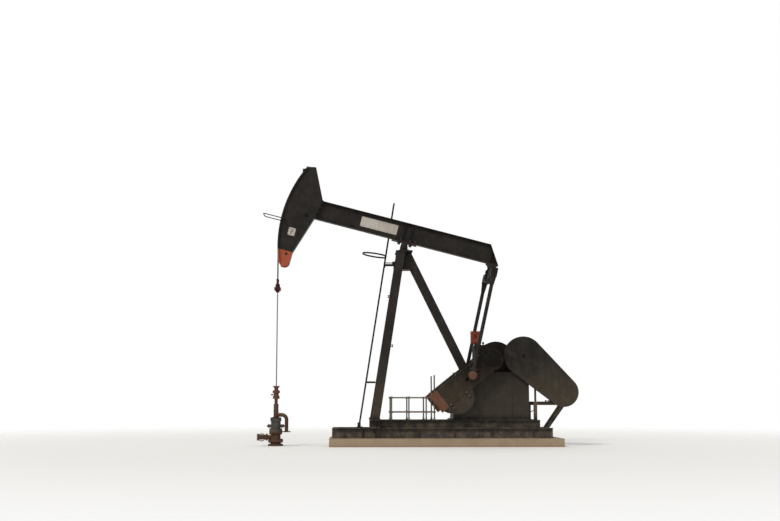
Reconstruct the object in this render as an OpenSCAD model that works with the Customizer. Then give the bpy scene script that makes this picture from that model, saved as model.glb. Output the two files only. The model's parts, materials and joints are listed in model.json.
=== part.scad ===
// Beam pumping unit with its Samson post, crank gear, bridle and wellhead.
// X runs along the machine with the well at -X, Y across it, Z up from the ground.
// The origin is on the ground below the saddle bearing. Lengths are millimetres.

/* [Linkage] */
// Height of the saddle bearing above ground
saddle_z = 6220; // [5900:10:6600]
// Saddle bearing to the middle of the bridle rope
head_radius = 3970; // [3700:10:4200]
// Saddle bearing to tail bearing
tail_arm = 2865; // [2750:5:2950]
// Saddle bearing to crankshaft, level
shaft_x = 2650; // [2600:10:2720]
// Height of the crankshaft above ground
shaft_z = 2640; // [2600:10:2700]
// Crankshaft to the wrist pin in use
throw = 796; // [740:2:840]
// Tail bearing to wrist pin
pitman_length = 3450; // [3350:10:3550]
// Cranks below level as drawn, in degrees
crank_tilt = 38.5; // [20:0.5:60]

/* [Foundation and skid] */
// Height of the concrete block
block_h = 250; // [150:10:400]
// Width of the concrete block
block_w = 2200; // [2100:20:2800]
// Front end of the concrete block
block_x0 = -2300; // [-2900:20:-2260]
// Rear end of the concrete block
block_x1 = 4800; // [4620:20:5300]
// Front end of the lower rails
rail_x0 = -2220; // [-2240:10:-1700]
// Rear end of the lower rails
rail_x1 = 4530; // [4400:10:4600]
// Depth of the lower rails
rail_h = 310; // [260:10:340]
// Flange width of the lower rails
rail_w = 200; // [160:10:240]
// Centreline of each lower rail from the middle
rail_y = 640; // [600:5:660]
// Depth of the upper rails
upper_h = 240; // [200:10:280]
// Flange width of the upper rails
upper_w = 180; // [150:10:200]
// Centreline of each upper rail from the middle
upper_y = 600; // [570:5:620]
// Rear end of the upper rails
upper_x1 = 4150; // [4000:10:4250]

/* [Samson post] */
// Depth and width of each leg's section
leg_size = 260; // [230:5:280]
// Half the spread of the front feet
foot_y = 850; // [780:5:850]
// Where the front feet stand along the skid
front_foot_x = -915; // [-980:5:-800]
// Where the rear foot stands on the pedestal
rear_foot_x = 1930; // [1860:5:1940]
// Half the spread of the front legs at the top
leg_top_y = 300; // [280:5:340]
// Height of the underside of the post's gusset box above ground
gusset_z = 5480; // [5300:10:5600]

/* [Beam and head] */
// Depth of the walking beam
beam_h = 612; // [560:4:660]
// Flange width of the walking beam
beam_w = 230; // [200:5:260]
// Saddle bearing to the underside of the beam
beam_drop = 158; // [140:2:200]
// Width of the curved face of the head
face_w = 450; // [400:10:480]
// Diameter of each bridle rope
rope_d = 26; // [20:1:32]
// Middle of each bridle rope from the centreline
rope_y = 110; // [90:5:130]

/* [Crank gear] */
// Middle of each pitman from the centreline
pitman_y = 1100; // [1080:5:1150]
// Outside diameter of the pitman tubes
pitman_d = 115; // [90:5:125]
// Inner face of each crank from the centreline
crank_y = 800; // [795:5:820]
// Thickness of each crank
crank_t = 160; // [120:5:170]
// Width of each crank
crank_w = 640; // [560:10:660]
// Crankshaft to the crank's square tip
crank_reach = 2200; // [2000:10:2300]
// Depth of each counterweight below its crank
weight_depth = 430; // [300:10:480]

/* [Gearbox and drive] */
// Half the width of the gearbox
gearbox_y = 420; // [360:10:440]
// Height of the pedestal's top above ground
pedestal_z = 2262; // [2200:2:2290]
// High-speed shaft from the crankshaft, level
pinion_dx = 1000; // [960:5:1030]
// High-speed shaft above the crankshaft
pinion_dz = 110; // [80:5:140]
// Motor shaft behind the high-speed shaft
motor_dx = 1226; // [1150:2:1260]
// Motor shaft below the high-speed shaft
motor_dz = 1100; // [1060:10:1120]
// Radius of the belt guard's large end
guard_r = 600; // [560:2:620]
// Radius of the belt guard's small end
guard_small_r = 456; // [420:2:470]
// Outer face of the belt guard from the centreline
guard_y = 740; // [720:5:760]
// Depth of the belt guard
guard_t = 130; // [120:2:134]

/* [Wellhead] */
// Diameter of the polished rod
rod_d = 38.1; // [32:0.1:45]
// Lowest point of the polished rod above ground
rod_low_z = 300; // [200:10:500]
// Height of the stuffing box's top above ground
box_top_z = 1840; // [1700:10:2000]
// Underside of the carrier above ground
carrier_z = 4760; // [4500:10:4900]

/* [Ladder] */
// Middle of the ladder from the centreline
ladder_y = 660; // [620:5:700]
// Width of the ladder between its stiles' middles
ladder_w = 500; // [440:10:520]
// Lean of the ladder in degrees
ladder_lean = 8.8; // [7:0.1:10]
// Length of the ladder
ladder_len = 7220; // [6600:10:7400]

/* [Hidden] */
$fn = 48;

// Clearances
running = 0.3;
fit = 0.05;

// Places that follow from the linkage
rail_top = block_h + rail_h;
deck_z = rail_top + upper_h;
wrist_x = shaft_x - throw * cos(crank_tilt);
wrist_z = shaft_z - throw * sin(crank_tilt);
span_x = wrist_x;
span_z = wrist_z - saddle_z;
span = norm([span_x, span_z]);
span_part = (tail_arm ^ 2 - pitman_length ^ 2 + span ^ 2) / (2 * span);
span_off = sqrt(tail_arm ^ 2 - span_part ^ 2);
tail_x = (span_part * span_x - span_off * span_z) / span;
tail_z = saddle_z + (span_part * span_z + span_off * span_x) / span;
beam_tilt = atan2(saddle_z - tail_z, tail_x);
pitman_tilt = atan2(tail_x - wrist_x, tail_z - wrist_z);
pinion_x = shaft_x + pinion_dx;
pinion_z = shaft_z + pinion_dz;
motor_x = pinion_x + motor_dx;
motor_z = pinion_z - motor_dz;
well_x = -head_radius;

// Steel sections
rail_flange = 18;
rail_web = 12;
leg_flange = 20;
leg_web = 13;
beam_flange = 24;
beam_web = 14;
plate_t = 25;

// Samson post
cap_t = 40;
cap_half = 260;
post_top_z = saddle_z - 160;
leg_end_z = post_top_z - cap_t;
front_top_x = -101;
rear_top_x = 80;
bearing_bore = 60;
bearing_y = 215;
bearing_t = 110;

// Beam and head, in the beam's own frame
beam_top = beam_drop + beam_h;
beam_tail_top = tail_arm - 225;
beam_tail_low = tail_arm + 160;
face_t = 20;
face_r = head_radius - rope_d / 2 - running;
cheek_r = face_r - face_t;
cheek_t = 16;
cheek_y = 150;
head_up_angle = 25.6;
head_down_angle = 22;
anchor_angle = 22.5;
tip_r = 165;
tip = [440 - head_radius, 76 - face_r * sin(head_down_angle)];
head_back_top = [240 - face_r * cos(head_up_angle), 52 + face_r * sin(head_up_angle)];
head_back_mid = [1118 - head_radius, beam_drop + beam_h + 12];
head_back_low = [994 - head_radius, beam_drop + 4];
head_back_tip = [610 - head_radius, tip[1] + 344];
hinge_hole = [745 - head_radius, beam_drop + 25];
tip_hole = [444 - head_radius, tip[1] + 241];
// Where the head's back plate meets the beam, at a height in the beam's frame
function front_x(z) = head_back_low[0]
    + (z - head_back_low[1]) * (head_back_mid[0] - head_back_low[0]) / (head_back_mid[1] - head_back_low[1]);
end_plate_w = 300;

// Tail bearing and equalizer
tail_pin_r = 50;
tail_hub_r = 120;
tail_block_r = 150;
tail_hub_y = 80;
hanger_t = 45;
hanger_r = 100;
equal_w = 190;
equal_h = 350;
equal_drop = 80;
equal_dip = 90;
equal_end_h = 230;

// Crank gear
wrist_r = 55;
wrist_hub_r = 150;
wrist_hub_t = 150;
hub_r = 350;
shaft_r = 120;
hole_gap = 190;
holes = [throw - hole_gap, throw, throw + hole_gap];

// Wellhead
rod_bore = rod_d / 2 + running;
tube_bore = 35;
socket_h = 260;
bar_h = 90;
clamp_h = 110;
spacer_h = 60;

// Side view shape as a plate with its lower Y face at y0
module slab(t, y0) {
    translate([0, y0 + t, 0]) rotate([90, 0, 0]) linear_extrude(height = t) children();
}

// Round bar along Y
module bar_y(x, z, r, y0, y1) {
    translate([x, y0, z]) rotate([-90, 0, 0]) cylinder(h = y1 - y0, r = r);
}

// Upright round bar or tube
module tube_z(x, y, z0, z1, r, bore = 0) {
    translate([x, y, z0]) difference() {
        cylinder(h = z1 - z0, r = r);
        if (bore > 0) translate([0, 0, -1]) cylinder(h = z1 - z0 + 2, r = bore);
    }
}

// Box from its two corners
module block(low, high) {
    translate(low) cube(high - low);
}

// I section: width along the first axis, depth along the second
module i_section(depth, width, flange, web) {
    square([web, depth], center = true);
    for (side = [-1, 1])
        translate([0, side * (depth - flange) / 2]) square([width, flange], center = true);
}

module i_beam_x(x0, x1, y, z0, depth, width, flange, web) {
    translate([x0, y, z0 + depth / 2]) rotate([90, 0, 90]) linear_extrude(height = x1 - x0)
        i_section(depth, width, flange, web);
}

module i_beam_y(y0, y1, x, z0, depth, width, flange, web) {
    translate([x, y1, z0 + depth / 2]) rotate([90, 0, 0]) linear_extrude(height = y1 - y0)
        i_section(depth, width, flange, web);
}

// Leans what is drawn along +Z so that it runs from p to q
module between(p, q) {
    v = q - p;
    length = norm(v);
    turn = atan2(v[1], v[0]);
    translate(p) rotate([0, acos(v[2] / length), turn]) rotate([0, 0, -turn]) children();
}

// Round bar from p to q
module bar(p, q, r) {
    between(p, q) cylinder(h = norm(q - p), r = r);
}

// Outline of two wheels and the straight runs around them
module two_wheels(p, r1, q, r2) {
    v = q - p;
    turn = atan2(v[1], v[0]);
    open = acos((r1 - r2) / norm(v));
    up = [cos(turn + open), sin(turn + open)];
    low = [cos(turn - open), sin(turn - open)];
    translate(p) circle(r = r1, $fn = 96);
    translate(q) circle(r = r2, $fn = 96);
    polygon([p + r1 * up, p + r1 * low, q + r2 * low, q + r2 * up]);
}

module in_beam() translate([0, 0, saddle_z]) rotate([0, beam_tilt, 0]) children();
module in_pitman() translate([tail_x, 0, tail_z]) rotate([0, pitman_tilt, 0]) children();
module in_crank() translate([shaft_x, 0, shaft_z]) rotate([0, -crank_tilt, 0]) children();

// Foundation and skid
module foundation_block() {
    color("tan") block([block_x0, -block_w / 2, 0], [block_x1, block_w / 2, block_h]);
}

module lower_rails() {
    color("dimgray") for (side = [-1, 1])
        i_beam_x(rail_x0, rail_x1, side * rail_y, block_h, rail_h, rail_w, rail_flange, rail_web);
}

cross_h = rail_h - 2 * rail_flange;
cross_w = 150;
cross_flange = 14;
cross_web = 10;
cross_end = 90;
ladder_foot = [-1392, ladder_y, rail_top + 12];
cross_x = [rail_x0 + cross_end, ladder_foot[0], front_foot_x, 400, 1500, shaft_x, 3900, rail_x1 - cross_end];

module cross_beams() {
    inner = rail_y - rail_web / 2;
    color("dimgray") for (x = cross_x)
        i_beam_y(-inner, inner, x, block_h + rail_flange, cross_h, cross_w, cross_flange, cross_web);
    color("dimgray") block([ladder_foot[0] - 80, ladder_y - ladder_w / 2 - 60, rail_top],
        [ladder_foot[0] + 120, ladder_y + ladder_w / 2 + 20, ladder_foot[2]]);
}

foot_beam_half = 150;

module upper_rails() {
    color("dimgray") for (side = [-1, 1])
        i_beam_x(front_foot_x + foot_beam_half, upper_x1, side * upper_y, rail_top,
            upper_h, upper_w, rail_flange, rail_web);
}

module foot_beam() {
    foot_end = foot_y + leg_size / 2 + 30;
    color("dimgray") {
        i_beam_y(-foot_end, foot_end, front_foot_x, rail_top, upper_h, 2 * foot_beam_half,
            rail_flange, rail_web);
        for (side = [-1, 1])
            block([front_foot_x - foot_beam_half, side * foot_y - rail_web / 2, rail_top + rail_flange],
                [front_foot_x + foot_beam_half, side * foot_y + rail_web / 2, deck_z - rail_flange]);
    }
}

pedestal_y = 600;
pedestal_x0 = 1440;
pedestal_x1 = 3867;
pedestal_slope = 157;
pedestal_skin = 40;
pedestal_rib = 12;

module pedestal() {
    wall = pedestal_y - pedestal_rib;
    top = pedestal_z - plate_t;
    low = deck_z + plate_t;
    color([0.13, 0.12, 0.12]) {
        slab(2 * wall, -wall) polygon([
            [pedestal_x0 + pedestal_skin, low],
            [pedestal_x1 - pedestal_skin, low],
            [pedestal_x1 - pedestal_skin, top],
            [pedestal_x0 + pedestal_slope + pedestal_skin, top]
        ]);
        block([pedestal_x0 - 40, -pedestal_y - 60, deck_z], [pedestal_x1 + 40, pedestal_y + 60, low]);
        block([pedestal_x0 + pedestal_slope - 20, -pedestal_y, top],
            [pedestal_x1 + 20, pedestal_y, pedestal_z]);
        for (x = [pedestal_x0 + 300 : 520 : pedestal_x1 - 200])
            block([x, -pedestal_y, low], [x + 20, pedestal_y, top]);
    }
}

// Samson post
module leg(p, q, low, high) {
    v = q - p;
    over = p - v / 5;
    color([0.13, 0.11, 0.1]) intersection() {
        between(over, q + v / 5) linear_extrude(height = norm(v) * 1.4)
            i_section(leg_size, leg_size, leg_flange, leg_web);
        block([-6000, -6000, low], [6000, 6000, high]);
    }
}

module foot_plate(x, y, z, half_x, half_y) {
    color([0.13, 0.11, 0.1]) block([x - half_x, y - half_y, z], [x + half_x, y + half_y, z + plate_t]);
}

module front_leg(side) {
    foot = [front_foot_x, side * foot_y, deck_z];
    head = [front_top_x, side * leg_top_y, leg_end_z];
    leg(foot, head, deck_z + plate_t, leg_end_z - running);
    foot_plate(foot[0], foot[1], deck_z, 160, 160);
}

module front_leg_near() front_leg(-1);
module front_leg_far() front_leg(1);

module rear_leg() {
    foot = [rear_foot_x, 0, pedestal_z];
    head = [rear_top_x, 0, leg_end_z];
    leg(foot, head, pedestal_z + plate_t, leg_end_z - running);
    foot_plate(foot[0], foot[1], pedestal_z, 190, 190);
}

// Middle of a front leg at height z
function front_leg_at(z, side) = let(t = (z - deck_z) / (leg_end_z - deck_z))
    [front_foot_x + t * (front_top_x - front_foot_x), side * (foot_y + t * (leg_top_y - foot_y)), z];

// Front face of a front leg along X at height z
function leg_front(z) = front_leg_at(z, 1)[0]
    - (leg_size / 2 + 2) / cos(atan2(front_top_x - front_foot_x, leg_end_z - deck_z));

// Middle of the rear leg along X at height z
function rear_leg_x(z) = rear_foot_x + (z - pedestal_z) / (leg_end_z - pedestal_z) * (rear_top_x - rear_foot_x);

brace_z = [2000, 3500];
brace_half = 45;

// Inner face of a front leg at height z, from the centreline
function leg_inner(z) = front_leg_at(z, 1)[1]
    - leg_size / 2 / cos(atan2(foot_y - leg_top_y, leg_end_z - deck_z)) - 2 * running;

module leg_braces() {
    color([0.13, 0.11, 0.1]) for (z = brace_z) {
        x = front_leg_at(z, 1)[0];
        low = z - brace_half;
        high = z + brace_half;
        translate([x - brace_half, 0, 0]) rotate([90, 0, 90]) linear_extrude(height = 2 * brace_half)
            polygon([
                [-leg_inner(low), low],
                [leg_inner(low), low],
                [leg_inner(high), high],
                [-leg_inner(high), high]
            ]);
    }
}

gusset_t = 18;

// Cap plate on the three legs, two gusset plates between them and the plate that closes these below
module post_top() {
    half = leg_size / 2;
    front = half + 1;
    rear = half / cos(atan2(rear_foot_x - rear_top_x, leg_end_z - pedestal_z));
    inner = half + running;
    color([0.13, 0.11, 0.1]) {
        block([-cap_half, -leg_top_y - half - 30, leg_end_z], [cap_half, leg_top_y + half + 30, post_top_z]);
        for (side = [-1, 1])
            slab(gusset_t, side * (inner + gusset_t / 2) - gusset_t / 2) polygon([
                [front_leg_at(gusset_z, 1)[0] - front, gusset_z],
                [rear_leg_x(gusset_z) + rear, gusset_z],
                [rear_top_x + rear, leg_end_z],
                [front_top_x - front, leg_end_z]
            ]);
        x0 = front_leg_at(gusset_z, 1)[0] - front;
        x1 = rear_leg_x(gusset_z + gusset_t) - rear - 1;
        half_y = leg_inner(gusset_z + gusset_t) - 4;
        block([x0, -half_y, gusset_z], [x1, half_y, gusset_z + gusset_t]);
    }
}

module saddle_bearings() {
    r = 110;
    foot = 150;
    color([0.28, 0.13, 0.1]) for (side = [-1, 1]) difference() {
        union() {
            bar_y(0, saddle_z, r, side * bearing_y - bearing_t / 2, side * bearing_y + bearing_t / 2);
            block([-r, side * bearing_y - bearing_t / 2, post_top_z],
                [r, side * bearing_y + bearing_t / 2, saddle_z]);
            block([-foot, side * bearing_y - bearing_t / 2, post_top_z],
                [foot, side * bearing_y + bearing_t / 2, post_top_z + 35]);
        }
        bar_y(0, saddle_z, bearing_bore + fit, side * bearing_y - bearing_t, side * bearing_y + bearing_t);
    }
}

// Gearbox and drive
split_t = 25;
pinion_r = 45;
motor_shaft_r = 30;
drum_gap = 40;
box_x0 = shaft_x - 520;
box_x1 = pinion_x + 190;
box_top = 460;
crown_dx = 190;
crown_r = 570;

// Cuts the two shafts' bores out of a gearbox half
module shaft_bores() {
    difference() {
        children();
        bar_y(shaft_x, shaft_z, shaft_r + fit, -gearbox_y - 1, gearbox_y + 1);
        bar_y(pinion_x, pinion_z, pinion_r + fit, -gearbox_y - 1, gearbox_y + 1);
    }
}

module gearbox_housing() {
    foot_t = 30;
    wall = gearbox_y - 30;
    rib = gearbox_y - 15;
    color([0.12, 0.12, 0.12]) shaft_bores() {
        block([box_x0 + 70, -wall, pedestal_z + foot_t], [box_x1 - 40, wall, shaft_z - split_t]);
        block([box_x0, -gearbox_y, pedestal_z], [box_x1, gearbox_y, pedestal_z + foot_t]);
        block([box_x0 + 30, -gearbox_y, shaft_z - split_t], [box_x1, gearbox_y, shaft_z]);
        for (side = [-1, 1]) for (x = [shaft_x, (shaft_x + pinion_x) / 2, pinion_x])
            block([x - 20, side * rib - 15, pedestal_z + foot_t], [x + 20, side * rib + 15, shaft_z - split_t]);
    }
}

module gearbox_cover() {
    wall = gearbox_y - 30;
    crown = [shaft_x + crown_dx, shaft_z];
    rear = [pinion_x - 40, shaft_z];
    color([0.12, 0.12, 0.12]) shaft_bores() {
        block([box_x0 + 30, -gearbox_y, shaft_z], [box_x1, gearbox_y, shaft_z + split_t]);
        slab(2 * wall, -wall) intersection() {
            union() {
                two_wheels(crown, crown_r, rear, 220);
                translate([box_x0 + 60, shaft_z]) square([shaft_x + crown_dx - box_x0 - 60, box_top]);
            }
            translate([box_x0, shaft_z]) square([box_x1 - box_x0, crown_r + 1]);
        }
        for (at = [[shaft_x, shaft_z, 210], [pinion_x, pinion_z, 120]]) intersection() {
            bar_y(at[0], at[1], at[2], -gearbox_y, gearbox_y);
            block([box_x0, -gearbox_y, shaft_z], [box_x1 + 100, gearbox_y, shaft_z + crown_r]);
        }
    }
}

module inspection_box() {
    x = shaft_x - 420;
    low = shaft_z + box_top;
    color("orangered") difference() {
        union() {
            block([x - 40, -230, low], [x + 60, -90, low + 60]);
            block([x - 140, -270, low + 60], [x + 140, -50, low + 430]);
        }
        bar_y(x, low + 245, 40, -271, -255);
    }
}

sheave_r = guard_r - 70;
motor_sheave_r = guard_small_r - 250;

guard_wall = 8;
guard_back = guard_t - guard_y;
mount_x0 = upper_x1 - 190;

guard_span = [motor_x - pinion_x, motor_z - pinion_z];
guard_turn = atan2(guard_span[1], guard_span[0]);
guard_open = acos((guard_r - guard_small_r) / norm(guard_span));

// Points of an arc about a centre
function arc(centre, r, start, end, steps) = [
    for (i = [0 : steps]) let(a = start + (end - start) * i / steps) centre + r * [cos(a), sin(a)]
];

// Side view of the guard, drawn in by inset
module guard_outline(inset) {
    polygon(concat(
        arc([pinion_x, pinion_z], guard_r - inset, guard_turn + guard_open, guard_turn + 360 - guard_open, 60),
        arc([motor_x, motor_z], guard_small_r - inset, guard_turn - guard_open, guard_turn + guard_open, 36)
    ));
}

// Height of the guard's lower run at a place along X
function guard_low_z(x) = let(
    turn = guard_turn - guard_open,
    a = [pinion_x + guard_r * cos(turn), pinion_z + guard_r * sin(turn)],
    b = [motor_x + guard_small_r * cos(turn), motor_z + guard_small_r * sin(turn)])
    a[1] + (x - a[0]) * (b[1] - a[1]) / (b[0] - a[0]);

// Height of the underside of the guard's large end at a place along X
function guard_rim_z(x) = pinion_z - sqrt(guard_r ^ 2 - (x - pinion_x) ^ 2);

module belt_guard() {
    hang_x = pinion_x - 0.45 * guard_r;
    stay_x = mount_x0 + 20;
    color([0.11, 0.1, 0.1]) difference() {
        slab(guard_t, -guard_y) guard_outline(0);
        slab(guard_t, guard_wall - guard_y) guard_outline(guard_wall);
    }
    color([0.11, 0.1, 0.1]) {
        block([hang_x - 50, guard_back - 12, min(pedestal_z - 110, guard_rim_z(hang_x))],
            [hang_x + 50, -pedestal_y, max(pedestal_z + 10, guard_rim_z(hang_x - 50) + guard_wall + 10)]);
        block([stay_x, -upper_y - 40, platform_z + running],
            [stay_x + 60, guard_back + 12, guard_low_z(stay_x) + 4]);
    }
}

belt_t = 12;
belt_w = 80;
belt_y = -guard_y + 25;

module belt_drive() {
    p = [pinion_x, pinion_z];
    q = [motor_x, motor_z];
    back = belt_y + belt_w;
    color([0.15, 0.15, 0.15]) {
        slab(belt_w - 10, belt_y + 5) difference() {
            two_wheels(p, sheave_r + belt_t, q, motor_sheave_r + belt_t);
            two_wheels(p, sheave_r, q, motor_sheave_r);
        }
        bar_y(p[0], p[1], sheave_r, belt_y, back);
        bar_y(p[0], p[1], pinion_r, back, gearbox_y + drum_gap);
        bar_y(q[0], q[1], motor_sheave_r, belt_y, back);
        bar_y(q[0], q[1], motor_shaft_r, back, -motor_half);
    }
}

motor_r = 230;
motor_half = 330;
platform_z = motor_z - motor_r - 60;

module motor() {
    color([0.18, 0.17, 0.16]) {
        bar_y(motor_x, motor_z, motor_r, -motor_half + 60, motor_half - 90);
        bar_y(motor_x, motor_z, motor_r - 30, -motor_half, -motor_half + 60);
        bar_y(motor_x, motor_z, motor_r - 15, motor_half - 90, motor_half);
        block([motor_x - 190, -motor_half + 100, platform_z], [motor_x + 190, motor_half - 130, motor_z - 120]);
        block([motor_x - 80, -120, motor_z + motor_r - 60], [motor_x + 90, 80, motor_z + motor_r + 90]);
    }
}

mount_y = 260;
beam_half = 40;
strut_x = rail_x1 - cross_end;
cross_top = block_h + rail_flange + cross_h;

module motor_mount() {
    x0 = mount_x0;
    x1 = motor_x + 330;
    low = platform_z - 110;
    color([0.13, 0.12, 0.12]) {
        for (side = [-1, 1]) {
            y = side * mount_y;
            post_y = side * upper_y;
            block([x0, y - beam_half, low], [x1, y + beam_half, platform_z]);
            block([x0, post_y - 50, deck_z], [x0 + 100, post_y + 50, low]);
            slab(60, y - 30) polygon([
                [strut_x - 60, cross_top],
                [strut_x + 40, cross_top],
                [motor_x + 120, low],
                [motor_x, low]
            ]);
        }
        block([x0, -upper_y - 50, low], [x0 + 110, upper_y + 50, platform_z]);
        block([x1 - 60, -mount_y, low], [x1, mount_y, platform_z]);
    }
}

module brake_drum() {
    color([0.2, 0.16, 0.13]) difference() {
        bar_y(pinion_x, pinion_z, 220, gearbox_y + drum_gap, gearbox_y + 170);
        bar_y(pinion_x, pinion_z, 200, gearbox_y + 70, gearbox_y + 171);
    }
}

// Ladder on the far side, with its one hoop and its two ties to the post
stile = 50;
rung_r = 12;
rung_gap = 305;
hoop_at = 5460;
hoop_reach = 760;
hoop_r = 420;
hoop_h = 50;
hoop_t = 8;
low_tie_z = 1970;
high_tie_z = 5690;

module in_ladder() translate(ladder_foot) rotate([0, ladder_lean, 0]) children();

module ladder() {
    half = ladder_w / 2;
    color([0.12, 0.11, 0.1]) {
        difference() {
            in_ladder() for (side = [-1, 1])
                block([-stile / 2, side * half - 6, -stile], [stile / 2, side * half + 6, ladder_len]);
            translate([ladder_foot[0], ladder_foot[1], ladder_foot[2] - ladder_w])
                block([-ladder_w, -ladder_w, 0], [ladder_w, ladder_w, ladder_w]);
        }
        in_ladder() for (z = [rung_gap : rung_gap : ladder_len - 80])
            translate([0, -half, z]) rotate([-90, 0, 0]) cylinder(h = ladder_w, r = rung_r);
    }
}

module ladder_hoop() {
    color([0.12, 0.11, 0.1]) in_ladder() translate([0, 0, hoop_at]) hoop();
}

// Middle of the ladder along X at height z
function ladder_x(z) = ladder_foot[0] + (z - ladder_foot[2]) * tan(ladder_lean);

// Flat bars across the ladder's rear, with arms to the face of the far leg and to the post's gusset box
module ladder_ties() {
    back = stile / 2 / cos(ladder_lean) + running;
    low_leg = front_leg_at(low_tie_z, 1);
    high_leg = front_leg_at(high_tie_z, 1);
    color([0.12, 0.11, 0.1]) {
        tie_bar(low_tie_z, back);
        block([ladder_x(low_tie_z) + back, low_leg[1] + 90, low_tie_z - 30],
            [leg_front(low_tie_z - 30), low_leg[1] + 120, low_tie_z + 30]);
        tie_bar(high_tie_z, back);
        for (y = [high_leg[1] + 10, high_leg[1] + 110])
            block([ladder_x(high_tie_z) + back, y, high_tie_z - 30],
                [leg_front(high_tie_z) - 10, y + 14, high_tie_z + 30]);
        slab(leg_size / 2 + 10, high_leg[1] - 10) polygon([
            [leg_front(high_tie_z - 120) - 14, high_tie_z - 120],
            [leg_front(high_tie_z - 120), high_tie_z - 120],
            [leg_front(high_tie_z + 120), high_tie_z + 120],
            [leg_front(high_tie_z + 120) - 14, high_tie_z + 120]
        ]);
    }
}

// Bar across both stiles at height z, behind the rungs
module tie_bar(z, back) {
    half = ladder_w / 2 + 6;
    x = ladder_x(z + 30) + back;
    block([x, ladder_y - half, z - 30], [x + 8, ladder_y + half, z + 30]);
}

// Flat bar hoop around a climber, closed by a bar across the stiles
module hoop() {
    back = -stile / 2 - running;
    mid = hoop_r - hoop_reach;
    reach = 2 * hoop_r;
    linear_extrude(height = hoop_h) difference() {
        intersection() {
            translate([mid, 0]) circle(r = hoop_r, $fn = 96);
            translate([back - reach, -hoop_r]) square([reach, 2 * hoop_r]);
        }
        intersection() {
            translate([mid, 0]) circle(r = hoop_r - hoop_t, $fn = 96);
            translate([back - hoop_t - reach, -hoop_r]) square([reach, 2 * hoop_r]);
        }
    }
}

guard_rail_y = 640;
guard_rail_r = 22;
guard_rail_x = [-410, 120, 650];
guard_rail_tall_x = 900;
guard_rail_top = 1500;
guard_rail_mid = 1040;
guard_rail_tall = 2150;

module guard_rails() {
    r = guard_rail_r;
    x0 = guard_rail_x[0];
    color([0.3, 0.3, 0.3]) for (side = [-1, 1]) {
        y = side * guard_rail_y;
        for (x = guard_rail_x)
            tube_z(x, y, deck_z, guard_rail_top, r);
        tube_z(guard_rail_tall_x, y, deck_z, guard_rail_tall, r);
        for (z = [guard_rail_top - r, guard_rail_mid])
            bar([x0 - r, y, z], [guard_rail_tall_x, y, z], r - 2);
    }
}

// Wellhead
module on_well() translate([-head_radius, 0, 0]) children();

casing_top = 450;
tubing_top = 840;
tee_top = 1280;
side_z = 270;
outlet_z = 950;
outlet_r = 57;
outlet_bore = 40;
flange_hole_r = 11;
flange_pcd = 190;
flange_r = 127;
elbow_r = 150;
elbow_x = 330;
outlet_low = 420;

module casing_head() {
    on_well() color([0.25, 0.14, 0.1]) difference() {
        union() {
            tube_z(0, 0, 0, 60, 230);
            tube_z(0, 0, 60, 130, 165);
            tube_z(0, 0, 130, 190, 230);
            tube_z(0, 0, 190, casing_top - 70, 150);
            tube_z(0, 0, casing_top - 70, casing_top, 200);
            translate([-260, 0, side_z]) rotate([0, 90, 0]) cylinder(h = 240, r = 65);
        }
        tube_z(0, 0, -1, casing_top + 1, tube_bore);
    }
}

module side_valve() {
    on_well() color([0.3, 0.16, 0.11]) {
        translate([-300, 0, side_z]) rotate([0, 90, 0]) cylinder(h = 40, r = 105);
        translate([-520, 0, side_z]) rotate([0, 90, 0]) cylinder(h = 220, r = 75);
        translate([-560, 0, side_z]) rotate([0, 90, 0]) cylinder(h = 40, r = 105);
        bar_y(-410, side_z, 45, -190, 0);
        bar_y(-410, side_z, 14, -290, -190);
        translate([-410, -270, side_z]) rotate([90, 0, 0]) rotate_extrude() translate([110, 0]) circle(r = 12);
        translate([-520, -276, side_z - 10]) cube([220, 12, 20]);
    }
}

module tubing_head() {
    on_well() color([0.36, 0.4, 0.45]) difference() {
        union() {
            tube_z(0, 0, casing_top, casing_top + 60, 200);
            tube_z(0, 0, casing_top + 60, tubing_top - 90, 150);
            tube_z(0, 0, tubing_top - 90, tubing_top, 170);
            translate([120, 0, 610]) rotate([0, 90, 0]) cylinder(h = 120, r = 50);
            translate([-240, 0, 610]) rotate([0, 90, 0]) cylinder(h = 120, r = 50);
        }
        tube_z(0, 0, casing_top - 1, tubing_top + 1, tube_bore);
    }
}

module pumping_tee() {
    bend_x = elbow_x - elbow_r;
    on_well() color([0.32, 0.15, 0.1]) difference() {
        union() {
            tube_z(0, 0, tubing_top, tubing_top + 45, 110);
            tube_z(0, 0, tubing_top + 45, tee_top, 75);
            tube_z(0, 0, tee_top, box_top_z - 400, 52);
            translate([0, 0, outlet_z]) rotate([0, 90, 0]) cylinder(h = bend_x, r = outlet_r);
            translate([bend_x, 0, outlet_z - elbow_r]) rotate([90, 0, 0]) rotate_extrude(angle = 90)
                translate([elbow_r, 0]) circle(r = outlet_r);
            tube_z(elbow_x, 0, outlet_low + 30, outlet_z - elbow_r, outlet_r);
            tube_z(elbow_x, 0, outlet_low, outlet_low + 30, flange_r);
        }
        tube_z(0, 0, tubing_top - 1, box_top_z, tube_bore);
        tube_z(elbow_x, 0, outlet_low - 1, outlet_z - elbow_r, outlet_bore);
        for (a = [45 : 90 : 315])
            tube_z(elbow_x + flange_pcd / 2 * cos(a), flange_pcd / 2 * sin(a),
                outlet_low - 1, outlet_low + 31, flange_hole_r);
    }
}

module stuffing_box() {
    low = box_top_z - 400;
    on_well() color([0.35, 0.1, 0.08]) difference() {
        union() {
            tube_z(0, 0, low, low + 70, 105);
            tube_z(0, 0, low + 70, low + 180, 80);
            tube_z(0, 0, low + 180, low + 250, 115);
            tube_z(0, 0, low + 250, low + 340, 60);
            tube_z(0, 0, low + 340, box_top_z, 85);
        }
        tube_z(0, 0, low - 1, box_top_z + 1, rod_bore);
    }
}

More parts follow.
